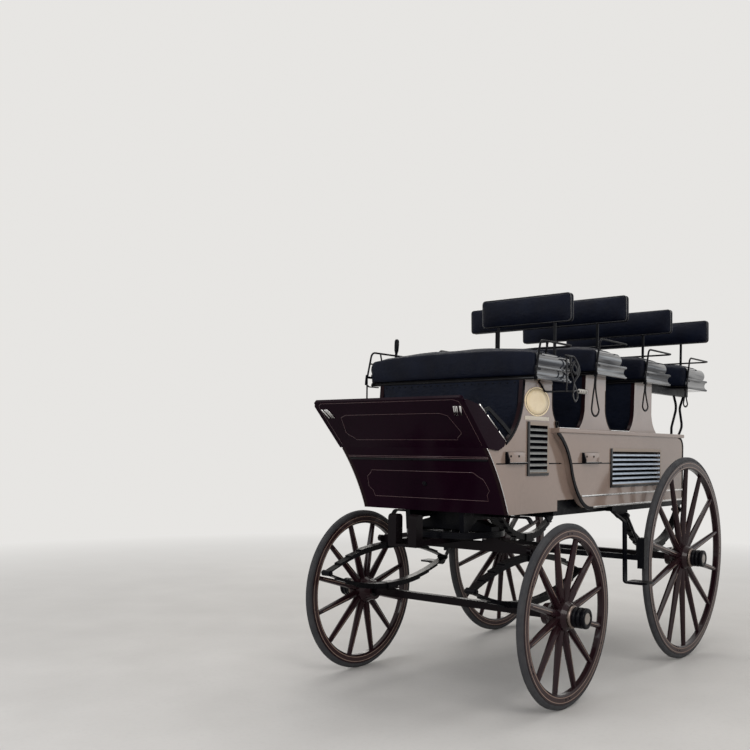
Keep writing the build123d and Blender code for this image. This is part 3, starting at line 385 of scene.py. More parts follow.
TAN = coach_paint("tan_panel", *TAN_TONES, coat=0.4, wobble=0.004)
SIDE_TAN = coach_paint("side_panel", *TAN_TONES, lines=dark_edges, coat=0.4, wobble=0.004)
MAROON = coach_paint("maroon_panel", *MAROON_TONES, 0.12, level=0.03, coat=0.0)
SEAT_PAINT = coach_paint("seat_panel", *SEAT_TONES, 0.06, dark_front, level=0.5, coat=1.0, wobble=0.006)
# the blades' pale tone, blue-white on the rear louvre, is partly a painted reflection of window light
LOUVRE_FRONT = louvre_paint("louvre_paint_front", st(-72), 0.236, 1.262, 1.566, 8, (0.30, 0.31, 0.31))
LOUVRE_REAR = louvre_paint("louvre_paint_rear", st(-1325), 0.795, 1.175, 1.425, 7, (0.62, 0.71, 0.84))
BOARD = painted_board("dark_boards", (0.009, 0.009, 0.013), (0.015, 0.015, 0.020))
LEATHER = leather("black_leather", (0.0030, 0.0042, 0.0105), (0.0050, 0.0075, 0.0180))
FALL_LEATHER = leather("fall_leather", (0.0040, 0.0058, 0.0135), (0.0068, 0.0100, 0.0220), 1.4)
STRAP_LEATHER = leather("strap_leather", (0.0040, 0.0038, 0.0052), (0.0080, 0.0070, 0.0080), 0.8)
IRON = enamel("black_iron", (0.0030, 0.0032, 0.0050), (0.011, 0.011, 0.013))
SPRING = enamel("spring_leaves", (0.0030, 0.0030, 0.0045), (0.016, 0.015, 0.016), 0.20)
GEAR = coach_paint("gear_paint", *GEAR_TONES, 0.18, level=0.07, coat=0.03)
HUB = enamel("hub_black", (0.0035, 0.0036, 0.0055), (0.010, 0.010, 0.011), 0.16)
NICKEL = bright_metal("nickel", (0.74, 0.73, 0.72), 0.10)
KNOT_LEATHER = coach_paint("knot_leather", *KNOT_TONES, 0.22, level=0.16, coat=0.1)
WELT = coach_paint("welt_leather", *WELT_TONES, 0.16, level=0.35, coat=0.4)
NAVE_BAND = bright_metal("nave_band", (0.20, 0.160, 0.140), 0.26)
TYRE = rubber("tyre_rubber")
CREAM = coach_paint("cream_disc", (0.90, 0.75, 0.50), (0.93, 0.79, 0.54), (0.82, 0.66, 0.42), 0.25)
PALE_PLATE = coach_paint("pale_plate", (0.62, 0.56, 0.47), (0.66, 0.60, 0.51), (0.56, 0.50, 0.42), 0.3)
DISC_LINE = coach_paint("disc_line", (0.10, 0.055, 0.030), (0.12, 0.065, 0.035), (0.08, 0.045, 0.025), 0.3)
FINE_LINE = coach_paint("fine_line", (0.095, 0.046, 0.052), (0.110, 0.054, 0.060), (0.080, 0.040, 0.045), 0.2)
HUB_DISC = coach_paint("hub_disc", (0.26, 0.235, 0.21), (0.30, 0.27, 0.24), (0.20, 0.18, 0.16), 0.3)
CORD = coach_paint("pale_binding", (0.62, 0.60, 0.57), (0.66, 0.64, 0.61), (0.55, 0.53, 0.50), 0.4)

# The axle's place along the body, the tread's middle to its left, the radius and the number of spokes
WHEELS = {
    "front_left": (FRONT_AXLE_X, 0.731, 0.505, 12),
    "front_right": (FRONT_AXLE_X, -0.731, 0.505, 12),
    "rear_left": (FRONT_AXLE_X - WHEELBASE, 0.740, 0.686, 14),
    "rear_right": (FRONT_AXLE_X - WHEELBASE, -0.740, 0.686, 14),
}


def rows(*kinds):
    """The names of the nodes that each of the four seats has."""
    return [f"{kind}_{number}" for kind in kinds for number in range(1, 5)]


BY_NODE = {
    TAN: ["quarter_panels", "ledges", "rear_wall", "tail_door"],
    SIDE_TAN: ["side_frames"],
    MAROON: ["boot_front", "footboard", "footboard_wings"],
    SEAT_PAINT: rows("seat_box"),
    LOUVRE_FRONT: ["louvres_front"],
    LOUVRE_REAR: ["louvres_rear"],
    BOARD: ["floors"],
    FALL_LEATHER: ["bulkheads"],
    NICKEL: ["mouldings"],
    LEATHER: rows("cushion", "backrest") + ["seat_fall"],
    IRON: rows("rail") + [
        "well", "rear_seat_irons", "steps", "lower_ring", "upper_ring", "underframe", "brake_gear",
        "edge_strips", "toe_steps", "wing_stays"],
    SPRING: ["front_springs", "rear_springs"],
    GEAR: ["front_axle", "rear_axle", "bed", "futchells"],
    TYRE: [f"tyre_{name}" for name in WHEELS],
    HUB: [f"hub_{name}" for name in WHEELS],
}


def dress(node, material):
    for place in nodes[node].material_slots:
        place.material = material


for material, names in BY_NODE.items():
    for node_name in names:
        dress(node_name, material)
for wheel_name, (axle_x, half_track, radius, spokes) in WHEELS.items():
    dress(f"wheel_{wheel_name}", wheel_paint(f"wheel_paint_{wheel_name}", axle_x, radius, spokes))


def smooth(obj, angle=40.0):
    """Shades the faces that meet at less than the angle as one."""
    for polygon in obj.data.polygons:
        polygon.use_smooth = True
    bpy.context.view_layer.objects.active = obj
    obj.select_set(True)
    bpy.ops.object.shade_auto_smooth(angle=math.radians(angle))
    obj.select_set(False)


def apply(obj, kind, **settings):
    """Changes the mesh for good by one modifier."""
    change = obj.modifiers.new(kind.lower(), kind)
    for key, value in settings.items():
        setattr(change, key, value)
    bpy.context.view_layer.objects.active = obj
    bpy.ops.object.modifier_apply(modifier=change.name)


def circle(steps):
    """Points round a circle of radius 1."""
    turns = [TURN * k / steps for k in range(steps)]
    return [(math.cos(turn), math.sin(turn)) for turn in turns]


class Maker:
    """Gathers the solids of one piece, then makes its object."""

    def __init__(self):
        self.bm = bmesh.new()

    def ring(self, points):
        return [self.bm.verts.new(q) for q in points]

    def skin(self, rings, around=True):
        """Faces from each ring of points to the next; a ring of one point is a tip."""
        for one, two in zip(rings, rings[1:]):
            count = max(len(one), len(two))
            for k in range(count if around else count - 1):
                i = (k + 1) % count
                if len(one) == 1:
                    self.bm.faces.new((one[0], two[i], two[k]))
                elif len(two) == 1:
                    self.bm.faces.new((one[k], one[i], two[0]))
                else:
                    self.bm.faces.new((one[k], one[i], two[i], two[k]))
        return self

    def cap(self, rings):
        """A face over the first ring and one over the last."""
        self.bm.faces.new(rings[0][::-1])
        self.bm.faces.new(rings[-1])
        return self

    def sweep(self, points, section, closed=False, up=(0, 0, 1)):
        """A section of (across, above) points carried along a route."""
        route = [Vector(q) for q in points]
        count = len(route)
        up = Vector(up)
        rings = []
        for k, here in enumerate(route):
            ahead = route[(k + 1) % count] if closed or k + 1 < count else here
            behind = route[(k - 1) % count] if closed or k > 0 else here
            along = (ahead - behind).normalized()
            across = along.cross(up)
            if across.length < 1e-4:
                across = along.cross(Vector((1, 0, 0)))
            across.normalize()
            above = across.cross(along).normalized()
            rings.append(self.ring(here + across * a + above * b for a, b in section))
        if closed:
            return self.skin(rings + rings[:1])
        return self.skin(rings).cap(rings)

    def revolve(self, centre, axis, profile, steps):
        """A profile of (along, radius) points turned about an axis; radius 0 closes an end."""
        centre, axis = Vector(centre), Vector(axis).normalized()
        side = axis.orthogonal().normalized()
        other = axis.cross(side)
        rings = []
        for along, radius in profile:
            spot = centre + axis * along
            if radius < 1e-6:
                rings.append(self.ring([spot]))
            else:
                rings.append(self.ring(spot + (side * a + other * b) * radius for a, b in circle(steps)))
        return self.skin(rings)

    def bolt(self, centre, axis, radius, height, steps=8):
        """A low domed head."""
        head = ((0.0, 0.0), (0.0, 1.0), (0.5, 0.95), (0.85, 0.6), (1.0, 0.0))
        return self.revolve(centre, axis, [(height * a, radius * b) for a, b in head], steps)

    def box(self, low, high, edge=0.0):
        made = bmesh.ops.create_cube(self.bm, size=1.0)["verts"]
        for v in made:
            for i in range(3):
                v.co[i] = low[i] + (v.co[i] + 0.5) * (high[i] - low[i])
        if edge > 0:
            edges = {e for v in made for e in v.link_edges}
            bmesh.ops.bevel(self.bm, geom=list(edges), offset=edge, segments=2, affect="EDGES", profile=0.6)
        return self

    def oval(self, centre, side, across, high, profile):
        """An upright oval plate; profile of (out, share of the size)."""
        x, y, z = centre
        rings = []
        for out, share in profile:
            wide, tall = across / 2 * share, high / 2 * share
            rings.append(self.ring((x + wide * a, y + side * out, z + tall * b) for a, b in circle(72)))
        return self.skin(rings).cap(rings)

    def done(self, name, material, slot, angle=40.0, body="body"):
        """The gathered solids as one object that moves with a body."""
        bmesh.ops.recalc_face_normals(self.bm, faces=self.bm.faces)
        mesh = bpy.data.meshes.new(name)
        self.bm.to_mesh(mesh)
        self.bm.free()
        mesh.materials.append(material)
        obj = new_object(name, mesh)
        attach(obj, body)
        if angle is not None:
            smooth(obj, angle)
        return obj


def round_section(radius, steps=8):
    return [(radius * a, radius * b) for a, b in circle(steps)]


def flat_section(width, thick):
    """A flat bar's section with small bevels."""
    e = min(width, thick) * 0.25
    w, t = width / 2, thick / 2
    corner = ((-w, -t + e), (-w + e, -t), (w - e, -t), (w, -t + e))
    return [*corner, *((-a, -b) for a, b in corner)]


def arc3(a, b, c, steps):
    """Points on the arc through three points of a plane."""
    (ax, ay), (bx, by), (cx, cy) = a, b, c
    a2, b2, c2 = ax * ax + ay * ay, bx * bx + by * by, cx * cx + cy * cy
    d = 2 * (ax * (by - cy) + bx * (cy - ay) + cx * (ay - by))
    ux = (a2 * (by - cy) + b2 * (cy - ay) + c2 * (ay - by)) / d
    uy = (a2 * (cx - bx) + b2 * (ax - cx) + c2 * (bx - ax)) / d
    r = math.hypot(ax - ux, ay - uy)
    one, mid, two = [math.atan2(y - uy, x - ux) for x, y in (a, b, c)]
    while mid < one:
        mid += TURN
    while two < one:
        two += TURN
    if mid > two:
        two -= TURN
    turns = [one + (two - one) * k / steps for k in range(steps + 1)]
    return [(ux + r * math.cos(turn), uy + r * math.sin(turn)) for turn in turns]


def curve_points(points, steps=5):
    """A smooth route through given points."""
    route = [Vector(q) for q in points]
    route = [2 * route[0] - route[1]] + route + [2 * route[-1] - route[-2]]
    out = []
    for k in range(1, len(route) - 2):
        p0, p1, p2, p3 = route[k - 1:k + 3]
        bend = 2 * p0 - 5 * p1 + 4 * p2 - p3
        twist = 3 * p1 - p0 - 3 * p2 + p3
        for j in range(steps):
            t = j / steps
            out.append(0.5 * ((2 * p1) + (p2 - p0) * t + bend * t * t + twist * t ** 3))
    out.append(route[-2])
    return out


# Soft goods
CLOTH_FRAMES = 20


def blow_up(obj, held, swell):
    """Air pressure inside a cover of cloth that is held at its seams; no point moves more than swell."""
    cloth = obj.modifiers.new("cloth", "CLOTH")
    cover = cloth.settings
    cover.use_pressure = True
    cover.uniform_pressure_force = 4.0
    cover.vertex_group_mass = held.name
    cover.effector_weights.gravity = 0.0
    cover.tension_stiffness = 20.0
    cover.bending_stiffness = 2.0
    cloth.point_cache.frame_start = 1
    cloth.point_cache.frame_end = CLOTH_FRAMES
    scene = bpy.context.scene
    for number in range(1, CLOTH_FRAMES + 1):
        scene.frame_set(number)
    shaped = obj.evaluated_get(bpy.context.evaluated_depsgraph_get())
    final = [v.co.copy() for v in shaped.data.vertices]
    obj.modifiers.remove(cloth)
    scene.frame_set(1)
    for v, end in zip(obj.data.vertices, final):
        step = end - v.co
        if step.length > swell:
            step = step * (swell / step.length)
        v.co = v.co + step


def stuffed(name, low, high, corner, seams, swell, voxel, crown=0.0, lean=0.0, belly=0.0):
    """A padded block with seams at two levels of one axis: remeshed, then blown up between them."""
    axis, *levels = seams
    maker = Maker()
    maker.box(low, high)
    bm = maker.bm
    upright = [e for e in bm.edges if abs(e.verts[0].co[axis] - e.verts[1].co[axis]) > 1e-5]
    bmesh.ops.bevel(bm, geom=upright, offset=corner, segments=4, affect="EDGES", profile=0.5)
    obj = maker.done(name, LEATHER, "leather", None)
    size = [high[i] - low[i] for i in range(3)]
    middle = [(high[i] + low[i]) / 2 for i in range(3)]
    apply(obj, "REMESH", mode="VOXEL", voxel_size=voxel)
    flat = [i for i in range(3) if i != axis]
    held = obj.vertex_groups.new(name="seams")
    for v in obj.data.vertices:
        inset = min(size[i] / 2 - abs(v.co[i] - middle[i]) for i in flat)
        near = min(abs(v.co[axis] - level) for level in levels)
        if near < voxel * 0.8 and inset < voxel * 1.2:
            held.add([v.index], 1.0, "REPLACE")
    blow_up(obj, held, swell)
    apply(obj, "SUBSURF", levels=1)
    for v in obj.data.vertices:
        a, b, c = [(v.co[i] - middle[i]) / (size[i] / 2) for i in range(3)]
        if crown > 0 and c > 0:
            # crown on the top face, fuller towards the front, and a few soft dips where people have sat
            share = 0.35 if a > 0 else 1.0
            dome = max(0.0, 1 - share * a ** 2) * max(0.0, 1 - abs(b) ** 3)
            dip = 0.12 * math.cos(b * 3 * math.pi) * max(0.0, 1 - a ** 2)
            v.co.z += crown * c * (dome - dip * dome)
        if belly:
            # fuller in the middle of its two faces, thin at the welts
            v.co.x += belly * max(-1.0, min(1.0, a)) * max(0.0, 1 - c ** 2) * max(0.0, 1 - abs(b) ** 6)
        v.co.x += lean * c
    obj.data.update()
    smooth(obj, 180.0)
    return obj


def rounded_loop(low, high, axis, level, corner, steps=5):
    """A rounded rectangle, on the two axes other than the given one."""
    a, b = [i for i in range(3) if i != axis]
    out = []
    for sa, sb, first in ((1, 1, 0), (-1, 1, 90), (-1, -1, 180), (1, -1, 270)):
        ca = (high[a] - corner) if sa > 0 else (low[a] + corner)
        cb = (high[b] - corner) if sb > 0 else (low[b] + corner)
        for k in range(steps + 1):
            turn = math.radians(first + 90.0 * k / steps)
            q = [0.0, 0.0, 0.0]
            q[axis] = level
            q[a] = ca + corner * math.cos(turn)
            q[b] = cb + corner * math.sin(turn)
            out.append(q)
    return out


def dense(points, gap=0.03, closed=True):
    """The same route with points no further apart than gap."""
    out = []
    count = len(points)
    for k in range(count if closed else count - 1):
        a, b = Vector(points[k]), Vector(points[(k + 1) % count])
        pieces = max(1, math.ceil((b - a).length / gap))
        out.extend(a.lerp(b, j / pieces) for j in range(pieces))
    if not closed:
        out.append(Vector(points[-1]))
    return out


# Millimetres: number, front edge, depth, underside, top of the ends, backrest's middle and its right end
SEATS = [
    (1, 88, 380, 1795, 1942, 2240, 0),
    (2, -638, 405, 1870, 2020, 2325, -580),
    (3, -1364, 405, 1870, 2020, 2325, -580),
    (4, -2100, 385, 1870, 2025, 2330, -580),
]
DRIVER_RAIL = 2010
# Metres: the padding's sizes
CUSHION_DEPTH = 0.360
CUSHION_HALF = 0.556
CUSHION_CORNER = 0.03
ROLL_HALF = 0.578
ROLL_THICK = 0.026
ROLL_SWELL = 0.024
BACK_LEFT = 0.580
BACK_THICK = 0.052
BACK_HIGH = 0.160
BACK_CORNER = 0.020
BACK_LEAN = 0.003


def front_roll(name, front, low, high):
    """The padded roll along a seat's front: higher in its middle, rounded off at its two ends."""
    profile = [(0.0, 0.0), (0.55, 0.0), (0.80, 0.05), (0.96, 0.18), (1.0, 0.42), (0.97, 0.66), (0.82, 0.86),
               (0.50, 0.97), (0.0, 1.0)]
    spans = 72
    cover = Maker()
    rings = []
    for k in range(spans + 1):
        v = 2 * k / spans - 1
        # points are closer together at the ends, where the roll is rounded
        v = math.sin(v * math.pi / 2)
        end = max(0.0, (abs(v) - 0.93) / 0.07)
        full = math.sqrt(max(0.0, 1 - end * end)) * 0.92 + 0.08
        top = high + ROLL_SWELL * (1 - abs(v) ** 3) - 0.018 * (1 - full)
        sag = 0.0012 * math.sin(11 * v) + 0.0008 * math.sin(23 * v + 1)
        ring = []
        for out, rise in profile:
            x = front + (ROLL_THICK * out) * full + sag * out * full
            ring.append((x, v * ROLL_HALF, low + (top - low) * rise))
        rings.append(cover.ring(ring))
    roll = cover.skin(rings).cap(rings).done(name, LEATHER, "leather", None)
    apply(roll, "SUBSURF", levels=1)
    smooth(roll, 180.0)


def add_cushion(number, front, low, high):
    """A seat's cushion with its welts, and the roll along its front."""
    x_front = st(front + 12)
    lower = (x_front - CUSHION_DEPTH + 0.004, -CUSHION_HALF, low / 1000 + 0.0215)
    upper = (x_front - 0.008, CUSHION_HALF, high / 1000 + 0.006)
    seams = (2, lower[2] + 0.022, upper[2] - 0.020)
    name = f"seat_cushion_{number}"
    cushion = stuffed(name, lower, upper, CUSHION_CORNER, seams, 0.012, 0.014, crown=0.030)
    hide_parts(f"cushion_{number}")
    front_roll(f"seat_roll_{number}", st(front) + 0.0012, low / 1000 + 0.021, high / 1000 + 0.008)
    welts = Maker()
    for level in seams[1:]:
        loop = dense(rounded_loop(lower, upper, 2, level, CUSHION_CORNER))
        welts.sweep(loop, round_section(0.0042), closed=True)
    for rise, out in ((0.0175, 0.004), (0.003, 0.003)):
        route = [(st(front) + out, y, low / 1000 + rise) for y in (-0.582, 0.582)]
        welts.sweep(route, round_section(0.0038))
    welts.done(f"cushion_welts_{number}", STRAP_LEATHER, "leather", 60.0)


def add_backrest(number, front, depth, height, right_end):
    """A padded backrest that leans slightly, with its welts."""
    x, z = st(front - depth - 4.5), height / 1000
    lower = (x - BACK_THICK / 2 + 0.005, right_end / 1000 - 0.008, z - BACK_HIGH / 2 - 0.002)
    upper = (x + BACK_THICK / 2 - 0.005, BACK_LEFT + 0.010, z + BACK_HIGH / 2 - 0.002)
    seams = (0, lower[0] + 0.006, upper[0] - 0.008)
    name = f"seat_back_{number}"
    back = stuffed(name, lower, upper, BACK_CORNER, seams, 0.010, 0.010, lean=BACK_LEAN, belly=0.020)
    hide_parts(f"backrest_{number}")
    welts = Maker()
    tilt = BACK_LEAN / (BACK_HIGH / 2)
    for level in seams[1:]:
        loop = dense(rounded_loop(lower, upper, 0, level, BACK_CORNER))
        route = [(q.x + tilt * (q.z - z), q.y, q.z) for q in loop]
        welts.sweep(route, round_section(0.0036), closed=True, up=(1, 0, 0))
    welts.done(f"back_welts_{number}", WELT, "leather", 60.0)


def add_seat_irons():
    """Plates at the rails' feet, the driving seat's stanchions and its brake lever."""
    irons = Maker()
    for _, front, _, low, *_ in SEATS:
        foot = [(front + 40, 599, low + 8), (front + 37, 600, low + 34), (front + 31, 600, low + 70)]
        bracket = [(front + 40, 599, low + 12), (front + 20, 590, low - 3), (front - 34, 560, low - 6)]
        for side in SIDES:
            irons.sweep(spots(side, foot), flat_section(0.020, 0.007), up=(0, 1, 0))
            irons.sweep(spots(side, bracket), flat_section(0.018, 0.006))
    front, top = SEATS[0][1], SEATS[0][4]
    for side in SIDES:
        stanchion = spots(side, [(front - 97, 582, top - 2), (front - 97, 597, DRIVER_RAIL)])
        irons.sweep(stanchion, round_section(0.005), up=(1, 0, 0))
        irons.sweep(spots(side, [(front + 8, 598, 1938), (front - 34, 592, 1936)]), round_section(0.005))
    irons.done("rail_feet", IRON, "iron_black")

    lever = Maker()
    blade = [(-150, 516, 1560), (-158, 540, 1640), (-170, 606, 1800), (-186, 616, 1900), (-196, 618, 2010),
             (-203, 620, 2050)]
    lever.sweep(curve_points(spots(-1, blade)), flat_section(0.022, 0.009), up=(0, 1, 0))
    grip = [(0.0, 0.0), (0.0, 0.011), (0.012, 0.014), (0.050, 0.0155), (0.074, 0.015), (0.084, 0.011),
            (0.089, 0.0)]
    lever.revolve((st(-201), -0.620, 2.036), (-0.06, 0, 1), grip, 20)
    lever.bolt((st(-150), -0.520, 1.572), (0, -1, 0), 0.016, 0.010, 16)
    rod = [(117, 600, 1852), (117, 600, 1700), (117, 594, 1640), (118, 560, 1585), (119, 510, 1560)]
    lever.sweep(spots(-1, rod), round_section(0.005), up=(1, 0, 0))
    lever.done("hand_lever", IRON, "iron_black")


def add_entrance_rods():
    """The thin rod across the entrance on each side, with four pale rings."""
    rods, rings = Maker(), Maker()
    route = [(-70, 509, 1793), (-96, 511, 1775), (-124, 511, 1750), (-165, 511, 1743), (-338, 511, 1754),
             (-545, 511, 1766), (-668, 510, 1771)]
    ring = [(-0.0045, 0.0055), (-0.0045, 0.012), (0.0, 0.0145), (0.0045, 0.012), (0.0045, 0.0055)]
    for side in SIDES:
        rods.sweep(curve_points(spots(side, route)), round_section(0.0055), up=(0, 1, 0))
        for k in range(4):
            rings.revolve((st(-556 - 29 * k), side * 0.511, 1.767), (1, 0, 0), ring, 16)
    rods.done("entrance_rods", IRON, "iron_black", 50.0)
    rings.done("entrance_rod_rings", CORD, "body_tan", 50.0)


def add_fall():
    """Leather apron below the driving seat, nailed along its top, with soft folds towards its two ends."""
    top, bottom, half = 1.793, 1.402, 0.472
    plane = st(96) + 0.0035
    columns, lines = 96, 40
    apron = Maker()
    grid = []
    for j in range(lines + 1):
        v = j / lines
        line = []
        for i in range(columns + 1):
            u = 2 * i / columns - 1
            edge = max(0.0, abs(u) - 0.62) / 0.38
            fold = 0.0035 * edge * math.sin(26 * abs(u) + 7 * v) * v
            belly = 0.004 * math.sin(math.pi * v) * (1 - u * u)
            ripple = 0.0012 * math.sin(9 * u + 3 * v) * v
            out = max(0.0, fold + belly + ripple)
            line.append((plane + out, u * half, top + (bottom - top) * v))
        grid.append(apron.ring(line))
    fall = apron.skin(grid, around=False).done("leather_fall", FALL_LEATHER, "leather", None)
    apply(fall, "SOLIDIFY", thickness=0.0022, offset=0.0)
    smooth(fall, 60.0)
    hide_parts("seat_fall")
    nails = Maker()
    for k in range(20):
        nails.bolt((plane + 0.002, -0.455 + 0.91 * k / 19, top - 0.012), (1, 0, 0), 0.005, 0.003)
    nails.done("fall_nails", IRON, "iron_black")


# Share of a hand strap's height that is straight, above its round foot
STRAIGHT = 0.84


def strap_loop(maker, top, bottom_z, wide, swing):
    """A narrow hand strap: both runs hang together and open to a loop at the foot."""
    x, y, z = top
    drop = z - bottom_z
    left, right = [], []
    for k in range(9):
        v = k / 8
        spread = wide / 2 * (0.08 + 0.92 * max(0.0, (v - 0.28) / 0.72) ** 1.2)
        sway = swing * math.sin(math.pi * v)
        left.append((x + spread + sway, y, z - drop * STRAIGHT * v))
        right.append((x - spread + sway, y + 0.002, z - drop * STRAIGHT * v))
    foot = []
    for k in range(1, 8):
        turn = math.pi * k / 8
        low = z - drop * STRAIGHT - drop * (1 - STRAIGHT) * math.sin(turn)
        foot.append((x + wide / 2 * math.cos(turn), y + 0.001, low))
    maker.sweep(left + foot + right[::-1], flat_section(0.013, 0.006), up=(0, 1, 0))


def add_straps():
    """Hand straps below the seat ends, and a longer one looped up at the driving seat's end."""
    hand = Maker()
    for side in SIDES:
        for station, z, foot, wide, swing in (
            (-620, 1.868, 1.618, 0.096, 0.010),
            (-1358, 1.866, 1.680, 0.084, 0.008),
            (-2072, 1.866, 1.738, 0.074, 0.004),
        ):
            x, y = st(station), side * 0.586
            strap_loop(hand, (x, y, z), foot, wide, swing)
            hand.box((x - 0.012, y - 0.008, z - 0.010), (x + 0.012, y + 0.008, z + 0.004), 0.002)
    hand.done("hand_straps", STRAP_LEATHER, "leather", 50.0)

    knot = Maker()
    x, y = st(-279), 0.604
    loops = (
        [(-14, 4, 1948), (-30, 12, 1925), (-62, 14, 1890), (-66, 12, 1852), (-38, 8, 1822), (-22, 4, 1796),
         (-44, 6, 1762), (-54, 8, 1722), (-40, 8, 1694), (-16, 8, 1700), (-8, 6, 1740), (-20, 4, 1792),
         (-10, 2, 1826), (12, 0, 1862), (16, 0, 1905), (4, 0, 1946)],
        [(20, -6, 1950), (16, 0, 1915), (-20, 10, 1896), (-36, 14, 1868), (-14, 14, 1850), (6, 8, 1872),
         (-4, 6, 1905), (-34, 10, 1918), (-50, 14, 1880), (-30, 16, 1840)],
    )
    for loop in loops:
        route = curve_points([(x + a / 1000, y + b / 1000, c / 1000) for a, b, c in loop])
        knot.sweep(route, flat_section(0.014, 0.0045), up=(0, 1, 0))
    tail = [(x + 0.060, y - 0.004, 1.952), (x + 0.060, y, 1.880), (x + 0.058, y, 1.800),
            (x + 0.056, y - 0.004, 1.742)]
    knot.sweep(tail, flat_section(0.015, 0.0035), up=(0, 1, 0))
    knot.box((x - 0.016, y - 0.012, 1.944), (x + 0.070, y + 0.004, 1.954), 0.002)
    knot.done("seat_end_straps", KNOT_LEATHER, "leather", 50.0)
    ring = Maker()
    hoop = [(x - 0.030 + 0.030 * a, y + 0.010, 1.724 + 0.030 * b) for a, b in circle(24)]
    ring.sweep(hoop, round_section(0.0032, 6), closed=True, up=(0, 1, 0))
    ring.done("seat_end_ring", WELT, "iron_black", 60.0)


# The boot front's curve seen from the side: three points of (station, height) in millimetres
BOOT_CURVE = ((236, 1052), (326, 1233), (458, 1414))


def add_side_trim():
    """Lines and strips on the body's sides, scuff plates, and the bare disc and plate of the first pillar."""
    bright, dark, tan = Maker(), Maker(), Maker()
    disc, ring, plates = Maker(), Maker(), Maker()
    for side in SIDES:
        def strip(maker, route, y, width, thick, shift=0):
            """A flat strip on the face at y, along (station, height) points in millimetres."""
            points = [(st(a + shift), side * (y + 0.001), b / 1000.0) for a, b in route]
            maker.sweep(points, flat_section(width, thick), up=(0, side, 0))

        def slab(maker, rear, front, y, out, low, high, edge):
            y0, y1 = sorted((side * y, side * (y + out)))
            maker.box((st(rear), y0, low), (st(front), y1, high), edge)

        # fine pale line along the boot's front edge
        strip(bright, arc3(*BOOT_CURVE, 20), SIDE_OUT, 0.0045, 0.004, -1)
        # dark lines along the pillars' edges
        pillar = arc3((283, 1440), (176, 1527), (108, 1670), 14) + [(96, 1793)]
        strip(dark, pillar, SIDE_OUT, 0.020, 0.005, -9)
        for front, rear in ((-238, -316), (-930, -1008)):
            edge = [(front, 1790)] + arc3((front, 1670), (front - 30, 1591), (rear, 1545), 10)
            strip(dark, edge, SIDE_OUT, 0.005, 0.003, 3)
        # belt line
        for a, b, y in ((366, 48, SIDE_OUT), (-192, -352, SIDE_OUT), (-402, -925, QUARTER_OUT)):
            strip(dark, [(a, 1331), (b, 1331)], y, 0.006, 0.004)
        # dark strip round the body's rear upper corner
        corner = [(-2056, 1512)] + arc3((-2062, 1512), (-2121, 1486), (-2140, 1430), 8) + [(-2141, 1078)]
        strip(dark, corner, QUARTER_OUT, 0.017, 0.004)
        # scuff plates with their bolts, and bright treads
        for a, b, y in ((255, 79, SIDE_OUT), (-557, -751, QUARTER_OUT)):
            slab(tan, b, a, y, 0.0088, 1.3388, 1.3950, 0.002)
            slab(bright, b, a + 9, y, 0.0258, 1.3378, 1.3392, 0.0004)
            for place in (0.14, 0.62):
                where = (st(a + (b - a) * place), side * (y + 0.0085), 1.372)
                dark.bolt(where, (0, side, 0), 0.007, 0.005, 10)
        # bare disc with a fine ring, and bare plate, on the first pillar
        for maker, out, profile in (
            (disc, 0.0, [(0.0, 1.0), (0.0020, 1.0), (0.0032, 0.985), (0.0032, 0.95), (0.0020, 0.93)]),
            (ring, 0.0010, [(0.0, 0.905), (0.0015, 0.90), (0.0015, 0.875), (0.0008, 0.87)]),
            (disc, 0.0012, [(0.0, 0.865), (0.0018, 0.86), (0.0016, 0.60)]),
        ):
            maker.oval((st(-60), side * (SIDE_OUT + out), 1.680), side, 0.280, 0.166, profile)
        slab(plates, -196, 75, SIDE_OUT, 0.002, 1.575, 1.597, 0.0008)
    bright.done("bright_lines", NICKEL, "bright_nickel", 50.0)
    dark.done("dark_side_trim", IRON, "iron_black")
    tan.done("scuff_plates", TAN, "body_tan")
    disc.done("bare_disc", CREAM, "louvre_paint", 50.0)
    ring.done("disc_line", DISC_LINE, "iron_black", 50.0)
    plates.done("bare_plates", PALE_PLATE, "louvre_paint")


FOOT_X, FOOT_Z = st(458), 1.414
FOOT_REACH, FOOT_RISE = 0.247, 0.252
FOOT_LENGTH = math.hypot(FOOT_REACH, FOOT_RISE)
BOOT_ARC = arc3(*BOOT_CURVE, 60)
LINE_OUT = 0.0007


def on_footboard(y, along, out=0.0):
    """A point on the footboard's front face: y across, metres up the slope, and out from it."""
    dx, dz = FOOT_REACH / FOOT_LENGTH, FOOT_RISE / FOOT_LENGTH
    return Vector((FOOT_X + dx * along + dz * out, y, FOOT_Z + dz * along - dx * out))


def on_boot(y, z, out=0.0):
    """A point on the boot front at a height, and out from it."""
    for (a0, b0), (a1, b1) in zip(BOOT_ARC, BOOT_ARC[1:]):
        if min(b0, b1) <= z * 1000 <= max(b0, b1):
            t = (z * 1000 - b0) / (b1 - b0)
            length = math.hypot(a1 - a0, b1 - b0)
            nx, nz = (b1 - b0) / length, -(a1 - a0) / length
            return Vector((st(a0 + (a1 - a0) * t) + nx * out, y, z + nz * out))
    return Vector((st(236), y, z))


